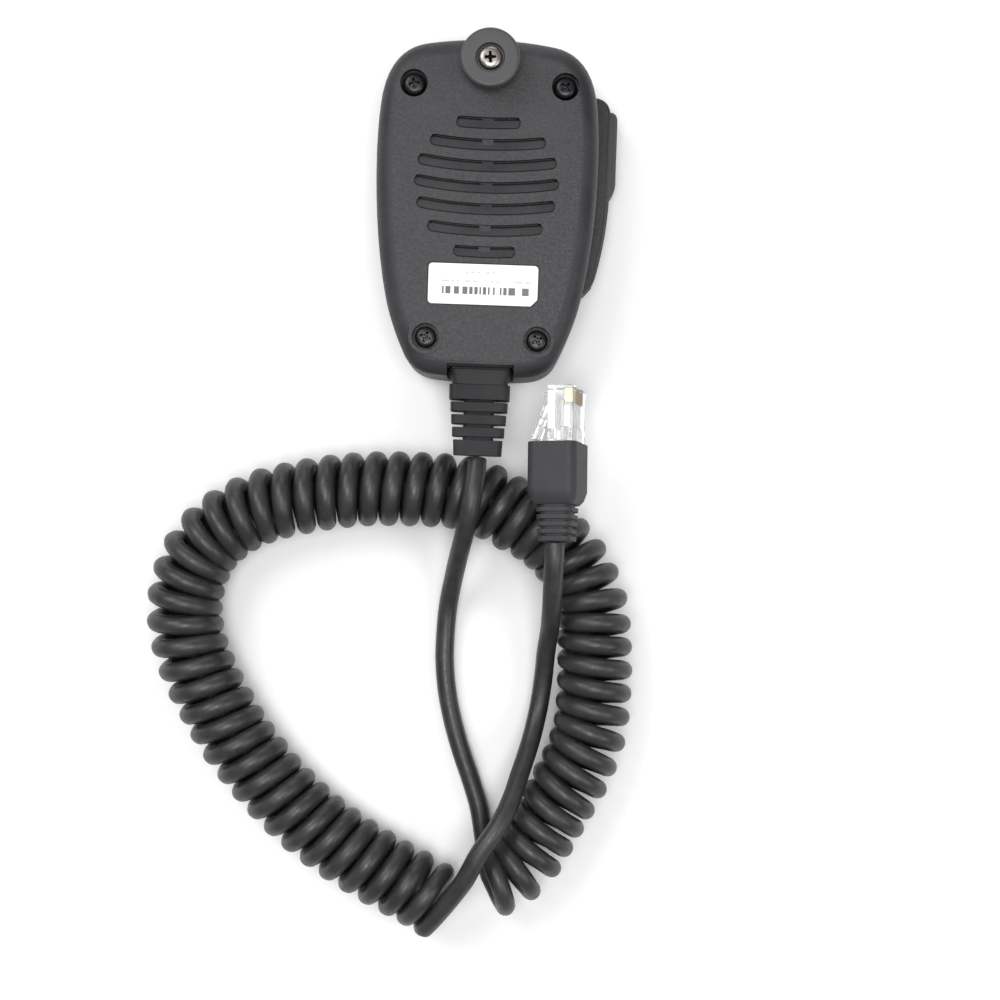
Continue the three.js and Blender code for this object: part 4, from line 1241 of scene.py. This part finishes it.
@dataclass
class HangStud:
    """The round stud that hangs the microphone up: disc, collar and bright screw. Millimetres."""

    disc_radius: float = 7.5
    disc_thick: float = 3.7
    recess_radius: float = 3.5
    recess_depth: float = 1.7
    collar_radius: float = 4.3
    collar_height: float = 3.1
    bore: float = 1.9
    edge: float = 0.85

    def arc(self, x: float, z: float, radius: float, first: float, last: float) -> list[tuple[float, float]]:
        """Return a quarter round of a turned section."""
        angles = [math.radians(first + (last - first) * i / 6) for i in range(7)]
        return [(x + radius * math.cos(angle), z + radius * math.sin(angle)) for angle in angles]

    def disc(self) -> list[tuple[float, float]]:
        """Return the disc's half section."""
        r, top, e = self.disc_radius, self.disc_thick, self.edge
        floor = top - self.recess_depth
        section = [(self.bore, 0)] + self.arc(r - e, e, e, -90, 0) + self.arc(r - e, top - e, e, 0, 90)
        section += self.arc(self.recess_radius + 0.45, top - 0.45, 0.45, 90, 180)
        return section + [(self.recess_radius, floor), (self.bore, floor)]

    def build(self, shell: CaseShell) -> None:
        """Build the stud on the back of the case."""
        foot = shell.back_height(shell.stud_y + self.collar_radius) + shell.gap
        disc_foot = foot + self.collar_height + shell.gap
        place = mm(0, shell.stud_y, 0)
        loops = {
            "stud_disc": (self.disc(), disc_foot, "hang_button"),
            "stud_collar": ([(self.bore, 0)] + self.arc(self.collar_radius - 0.3, 0.3, 0.3, -90, 0)
                            + self.arc(self.collar_radius - 0.3, self.collar_height - 0.3, 0.3, 0, 90)
                            + [(self.bore, self.collar_height)], foot, "hang_button_spacer"),
        }
        for name, (loop, low, node) in loops.items():
            section = [(radius * MM, (height + low) * MM) for radius, height in loop]
            item = object_from(name, turned_piece(section, place, 96))
            tidy_surface(item)
            settle(item, STUD, nodes=(node,))
        head = disc_foot + self.disc_thick - self.recess_depth + shell.gap
        screw = CrossScrew(2.95, 1.4, 1.5)
        item = screw.build("stud_screw", 0, shell.stud_y, head, shell.back_height(shell.stud_y) - 8, 4.0)
        settle(item, NICKEL, nodes=("hang_button_screw",))


# ---------------------------------------------------------------- talk bar and keys


@dataclass
class TalkBar:
    """The rocking talk bar with its framed thumb pad. Millimetres."""

    low: float = 3.2
    high: float = 10.0
    pivot: tuple[float, float] = (27.3, -15.0)
    bore: float = 1.25
    pad: tuple = ((32.6, 7.6), (35.0, 26.6))

    def outline(self) -> list[Vector]:
        """Return the bar's outline seen from the back."""
        runs = [
            ((31.8, 27.9), (33.8, 27.9), (33.8, 25.3)), ((33.8, 8.6), (33.6, 6.2), (32.3, 5.2)),
            ((32.3, 5.2), (31.9, -6), (29.3, -16)), ((29.3, -16), (28.7, -18.2), (27.4, -18.2)),
            ((27.4, -18.2), (25.0, -18.2), (24.8, -15)), ((24.8, -15), (25.2, -8), (27.6, -4)),
        ]
        ring = [Vector((25.9, 27.9, 0))]
        for start, pull, end in runs:
            points = quadratic(start, pull, end, 7)
            ring.extend(points[1:] if (ring[-1] - points[0]).length < 1e-6 else points)
        ring.extend(Vector((x, y, 0)) for x, y in ((27.6, 12), (26.4, 13.4), (26.4, 22.6), (25.9, 23.6)))
        return [point * MM for point in ring]

    def build(self) -> bpy.types.Object:
        """Build the bar."""
        shape = ring_prism(self.outline(), self.low * MM, self.high * MM)
        flat = edges_at_height(shape, self.low * MM) + edges_at_height(shape, self.high * MM)
        bevel(shape, flat, 0.55 * MM, 4)
        item = object_from("talk_bar", shape)
        shell = CaseShell()
        combine(item, object_from("bore", shell.post(*self.pivot, self.bore, 0, 20)), "DIFFERENCE")
        (x0, y0), (x1, y1) = self.pad
        frame_shape = block(mm(33.35, y0 + 0.3, self.low + 0.9), mm(x1, y1 - 0.3, self.high - 0.9), 0.5 * MM, 3)
        inner = block(mm(33.0, y0 + 1.1, self.low + 1.7), mm(x1 + 1, y1 - 1.1, self.high - 1.7), 0.4 * MM, 3)
        groove = object_from("groove", frame_shape)
        combine(groove, object_from("inner", inner), "DIFFERENCE")
        combine(item, groove, "DIFFERENCE")
        for i in range(7):
            y = y0 + 3.2 + i * 1.95
            rib = block(mm(33.55, y, self.low + 2.2), mm(x1, y + 0.5, self.high - 2.2))
            combine(item, object_from("rib", rib), "DIFFERENCE")
        seam = block(mm(x0, y0, self.high - 0.35), mm(x0 + 0.3, y1, self.high + 1))
        combine(item, object_from("seam", seam), "DIFFERENCE")
        tidy_surface(item, 0.08 * MM)
        return settle(item, KEYS, Body.TALK_BAR, ("ptt_lever",))


@dataclass
class TopKeys:
    """The two small keys in the top edge of the case. Millimetres."""

    x: float = 4.8
    width: float = 8.8
    low: float = 3.6
    high: float = 8.6
    tip: float = 46.0
    flange_y: float = 38.9
    flange_thick: float = 1.0
    lip: float = 0.5
    stem_from: float = 36.4
    stem_radius: float = 1.4

    def build(self) -> None:
        """Build both keys, each on its own body."""
        for name, side, body in (("up", Side.LEFT, Body.UP_KEY), ("down", Side.RIGHT, Body.DOWN_KEY)):
            x, half = side.value * self.x, self.width / 2
            cap = block(mm(x - half, self.flange_y - 0.5, self.low), mm(x + half, self.tip, self.high))
            front = [edge for edge in cap.edges if any(vert.co.y > (self.tip - 0.1) * MM for vert in edge.verts)]
            bevel(cap, front, 0.7 * MM, 4)
            item = object_from(f"{name}_key_cap", cap)
            flange = block(mm(x - half, self.flange_y - self.flange_thick, self.low - self.lip),
                           mm(x + half, self.flange_y, self.high + self.lip), 0.15 * MM, 2)
            combine(item, object_from("flange", flange), "UNION")
            length = (self.flange_y - self.stem_from) * MM
            rod = [(0, 0), (self.stem_radius * 0.85 * MM, 0), (self.stem_radius * MM, 0.2 * MM),
                   (self.stem_radius * MM, length), (0, length)]
            stem = turned_piece(rod, mm(0, 0, 0), 32)
            lie = Matrix.Translation(mm(x, self.stem_from, (self.low + self.high) / 2)) @ ALONG_Y
            bmesh.ops.transform(stem, matrix=lie, verts=stem.verts)
            combine(item, object_from("stem", stem), "UNION")
            tidy_surface(item, 0.06 * MM)
            settle(item, KEYS, body, (f"{name}_key",))


# ---------------------------------------------------------------- strain relief


@dataclass
class StrainRelief:
    """The tapered, ribbed sleeve at the foot of the case. Millimetres, drawn along +Y from its flange."""

    origin: tuple[float, float, float] = (0, -42, 15.5)
    tilt: float = 12.0
    corner: float = 0.34
    rib_widths: tuple = (14.9, 14.3, 13.6)
    rib_from: float = 8.7
    rib_pitch: float = 3.35
    rib_length: float = 2.45

    def sections(self) -> list[list[Station]]:
        """Return the sleeve's parts as lists of sections."""
        parts = [
            [Station(0, 8.2, 6.4), Station(4.3, 7.0, 5.46)],
            [Station(4.0, 7.9, 5.6), Station(8.0, 7.8, 5.5)],
            [Station(0, 3.95, 3.75), Station(22.7, 3.95, 3.75)],
            [Station(18.75, 6.4, 4.6), Station(22.8, 6.2, 4.45)],
        ]
        for i, width in enumerate(self.rib_widths):
            start = self.rib_from + i * self.rib_pitch
            parts.append([Station(start, width / 2, width * 0.34),
                          Station(start + self.rib_length, width / 2 - 0.1, width * 0.34 - 0.1)])
        return parts

    def build(self) -> bpy.types.Object:
        """Build the sleeve and seat it in the case."""
        first, *others = self.sections()
        item = object_from("cord_sleeve", sleeve(first, self.corner, 6))
        for part in others:
            combine(item, object_from("part", sleeve(part, self.corner, 6)), "UNION")
        climb, tilt = Matrix.Identity(4), math.radians(self.tilt)
        climb[1][1], climb[2][1] = math.cos(tilt), -math.sin(tilt)
        item.data.transform(Matrix.Translation(mm(*self.origin)) @ climb @ Matrix.Rotation(math.pi, 4, "Z"))
        z = self.origin[2]
        flange = block(mm(-10.4, -41.4, z - 5.6), mm(10.4, -39.2, z + 5.6), 0.5 * MM, 3)
        neck = block(mm(-7.6, -42.9, z - 5), mm(7.6, -39.4, z + 5), 0.3 * MM, 2)
        combine(item, object_from("flange", flange), "UNION")
        combine(item, object_from("neck", neck), "UNION")
        tidy_surface(item, 0.28 * MM)
        return settle(item, SLEEVE, nodes=("strain_relief",))


# ---------------------------------------------------------------- modular plug


@dataclass
class ModularPlug:
    """The 8-way plug with its boot. Millimetres, drawn along +Y with the latch side up, then placed."""

    origin: tuple[float, float, float] = (20.55, -85.7, 28.6)
    droop: float = 5.0
    roll: float = 108.0
    yaw: float = 1.1
    half_width: float = 5.85
    half_height: float = 3.35
    middle: float = -2.6
    back_end: float = 18.0
    nose: float = 39.5
    contacts: int = 8
    contact_pitch: float = 1.02
    contact_thick: float = 0.36
    slot: float = 0.6
    contact_from: float = 35.2
    contact_to: float = 38.6
    contact_low: float = -5.7
    contact_high: float = -3.5
    wire_radius: float = 0.46
    boot_middle: float = -0.5
    boot: tuple = (Station(9.4, 4.6, 5.0), Station(10.6, 5.9, 5.9), Station(12.9, 7.1, 6.5),
                   Station(25.1, 7.1, 6.5))

    def matrix(self) -> Matrix:
        """Return the plug's place in the object's frame."""
        turn = (Matrix.Rotation(math.radians(self.yaw), 4, "Z") @ Matrix.Rotation(-math.radians(self.droop), 4, "X")
                @ Matrix.Rotation(-math.radians(self.roll), 4, "Y"))
        return Matrix.Translation(mm(*self.origin)) @ turn

    def place(self, item: bpy.types.Object, edge: float, limit: float = SHARP_ANGLE) -> bpy.types.Object:
        """Move a drawn piece to its place and finish its surface."""
        item.data.transform(self.matrix())
        tidy_surface(item, edge * MM, limit)
        return item

    def contact_x(self, i: int) -> float:
        """Return the place of a contact across the plug."""
        return (i - (self.contacts - 1) / 2) * self.contact_pitch

    def build_boot(self) -> bpy.types.Object:
        """Build the rubber boot with its ribbed neck."""
        item = object_from("plug_hood", sleeve(self.boot, 0.34, 6))
        combine(item, object_from("neck", sleeve([Station(0, 3.4, 3.4), Station(9.6, 4.2, 4.2)], 0.6, 6)), "UNION")
        for i in range(5):
            start, size = 0.2 + i * 1.85, (4.2 + i * 0.1, 4.4 + i * 0.1)
            rib = sleeve([Station(start, *size), Station(start + 1.1, *size)], 0.45, 5)
            combine(item, object_from("rib", rib), "UNION")
        item.data.transform(Matrix.Translation(mm(0, 0, self.boot_middle)))
        seat = block(mm(-self.half_width - 0.3, self.back_end - 0.3, self.middle - self.half_height - 0.3),
                     mm(self.half_width + 0.3, self.nose, self.middle + self.half_height + 0.3))
        combine(item, object_from("seat", seat), "DIFFERENCE")
        self.place(item, 0.22)
        return settle(item, BOOT, nodes=("plug_boot",))

    def build_body(self) -> bpy.types.Object:
        """Build the clear body: contact slots in front, a stepped wire chamber behind."""
        low, high = self.middle - self.half_height, self.middle + self.half_height
        outer = block(mm(-self.half_width, self.back_end, low), mm(self.half_width, self.nose, high), 0.28 * MM, 3)
        item = object_from("clear_shell", outer)
        chamber = block(mm(-4.7, self.back_end - 1, self.middle - 2.0), mm(4.7, 29.0, self.middle + 1.9), 0.3 * MM, 2)
        combine(item, object_from("chamber", chamber), "DIFFERENCE")
        comb = block(mm(-4.4, 28.4, self.middle - 0.75), mm(4.4, 36.0, self.middle + 0.45), 0.2 * MM, 2)
        combine(item, object_from("comb", comb), "DIFFERENCE")
        slots = bmesh.new()
        for i in range(self.contacts):
            x = self.contact_x(i)
            cutter = block(mm(x - self.slot / 2, self.contact_from - 0.3, self.middle - 5),
                           mm(x + self.slot / 2, self.contact_to + 0.3, self.contact_high + 0.3))
            CaseShell.add(slots, cutter)
        combine(item, object_from("slots", slots), "DIFFERENCE")
        window = block(mm(-2.6, 26.2, high - 1.0), mm(2.6, 28.8, high + 1))
        combine(item, object_from("window", window), "DIFFERENCE")
        self.place(item, 0.06)
        return settle(item, CLEAR, nodes=("plug_body",))

    def build_wires(self) -> bpy.types.Object:
        """Build the flat row of pale wires in the clear body."""
        whole = bmesh.new()
        length = 35.6 - self.back_end
        for i in range(self.contacts):
            rod = [(0, 0), (self.wire_radius * MM, 0), (self.wire_radius * MM, length * MM), (0, length * MM)]
            wire = turned_piece(rod, mm(0, 0, 0), 20)
            lie = Matrix.Translation(mm(self.contact_x(i), self.back_end, self.middle - 0.15)) @ ALONG_Y
            bmesh.ops.transform(wire, matrix=lie, verts=wire.verts)
            CaseShell.add(whole, wire)
        item = self.place(object_from("plug_wires", whole), 0.0)
        core = Finish("wire_sheath", (0.62, 0.62, 0.62), roughness=0.4, tone_amount=0.2)
        return settle(item, core)

    def build_contact(self, i: int) -> bpy.types.Object:
        """Build one gilt blade with its rounded outer edge and pointed root."""
        x, half = self.contact_x(i), self.contact_thick / 2
        blade = block(mm(x - half, self.contact_from, self.contact_low),
                      mm(x + half, self.contact_to, self.contact_high))
        corners = [edge for edge in blade.edges
                   if abs(edge.verts[0].co.x - edge.verts[1].co.x) > 1e-6
                   and all(vert.co.z < (self.contact_low + 0.1) * MM for vert in edge.verts)]
        bevel(blade, corners, 0.6 * MM, 5)
        item = self.place(object_from(f"gilt_blade_{i + 1}", blade), 0.03)
        return settle(item, GILT, nodes=(f"contact_{i + 1}",))

    def build_latch(self) -> bpy.types.Object:
        """Build the springy latch on its own body."""
        foot, root, end, rise, thick, half = self.middle + self.half_height + 0.3, 38.3, 26.2, 3.7, 1.2, 3.0
        side = [(root, foot), (root, foot + thick), (root - 4, foot + thick + 0.5), (end, foot + rise + thick),
                (end, foot + rise), (root - 0.6, foot)]
        shape = ring_prism([Vector((y * MM, z * MM, 0)) for y, z in side], -half * MM, half * MM)
        turn = Matrix(((0, 0, 1, 0), (1, 0, 0, 0), (0, 1, 0, 0), (0, 0, 0, 1)))
        bmesh.ops.transform(shape, matrix=turn, verts=shape.verts)
        tail = [vert for vert in shape.verts if vert.co.y < (end + 0.1) * MM]
        bmesh.ops.scale(shape, vec=(0.8, 1, 1), verts=tail)
        item = object_from("latch_tab", shape)
        for way in Side:
            x = way.value * 2.4
            notch = block(mm(x - 0.75, 29.8, foot - 1), mm(x + 0.75, 31.6, foot + 8), 0.1 * MM, 2)
            combine(item, object_from("notch", notch), "DIFFERENCE")
        self.place(item, 0.12)
        return settle(item, CLEAR, Body.LATCH, ("plug_latch",))

    def build(self) -> list[bpy.types.Object]:
        """Build the whole plug and return its pieces."""
        made = [self.build_boot(), self.build_body(), self.build_wires(), self.build_latch()]
        return made + [self.build_contact(i) for i in range(self.contacts)]


# ---------------------------------------------------------------- inside the case


@dataclass
class InnerWorks:
    """Finishes of the pieces inside the case, which keep their drawn shapes."""

    finishes: dict = field(default_factory=lambda: {
        BOARD: ("circuit_board",),
        PARTS: ("preamp_chip", "coupling_capacitor", "ptt_switch", "up_switch", "down_switch"),
        NYLON: ("board_connector",),
        JACKET: ("wire_bundle", "cable_tail"),
        KEYS: ("cord_clamp", "ptt_switch_plunger", "up_switch_plunger", "down_switch_plunger"),
        STEEL: ("clamp_screw_1", "clamp_screw_2", "ptt_pivot_pin", "board_screw_1", "board_screw_2",
                "board_screw_3", "board_screw_4"),
        CAN: ("mic_capsule",),
        SLEEVE: ("capsule_holder",),
        BRASS: ("hang_button_nut",),
        CLOTH: ("front_grille_cloth", "rear_grille_cloth"),
    })

    def dress(self) -> None:
        """Assign the finishes."""
        for finish, names in self.finishes.items():
            for name in names:
                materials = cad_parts[name].data.materials
                if not materials:
                    materials.append(None)
                for i in range(len(materials)):
                    materials[i] = finish.material()
                LOG.info("dressed %s in %s", name, finish.name)


def main() -> None:
    """Build every sub-assembly in order."""
    logging.basicConfig(level=logging.INFO, format="%(name)s: %(message)s")
    studio = Studio()
    studio.camera()
    plug = ModularPlug().build()
    CurlyCord().build(plug)
    studio.lights()
    studio.floor()
    shell = CaseShell()
    shell.back()
    shell.front()
    CaseScrews().build(shell)
    HangStud().build(shell)
    IdLabel().build(shell)
    TalkBar().build()
    TopKeys().build()
    StrainRelief().build()
    InnerWorks().dress()


if __name__ == "__main__":
    main()
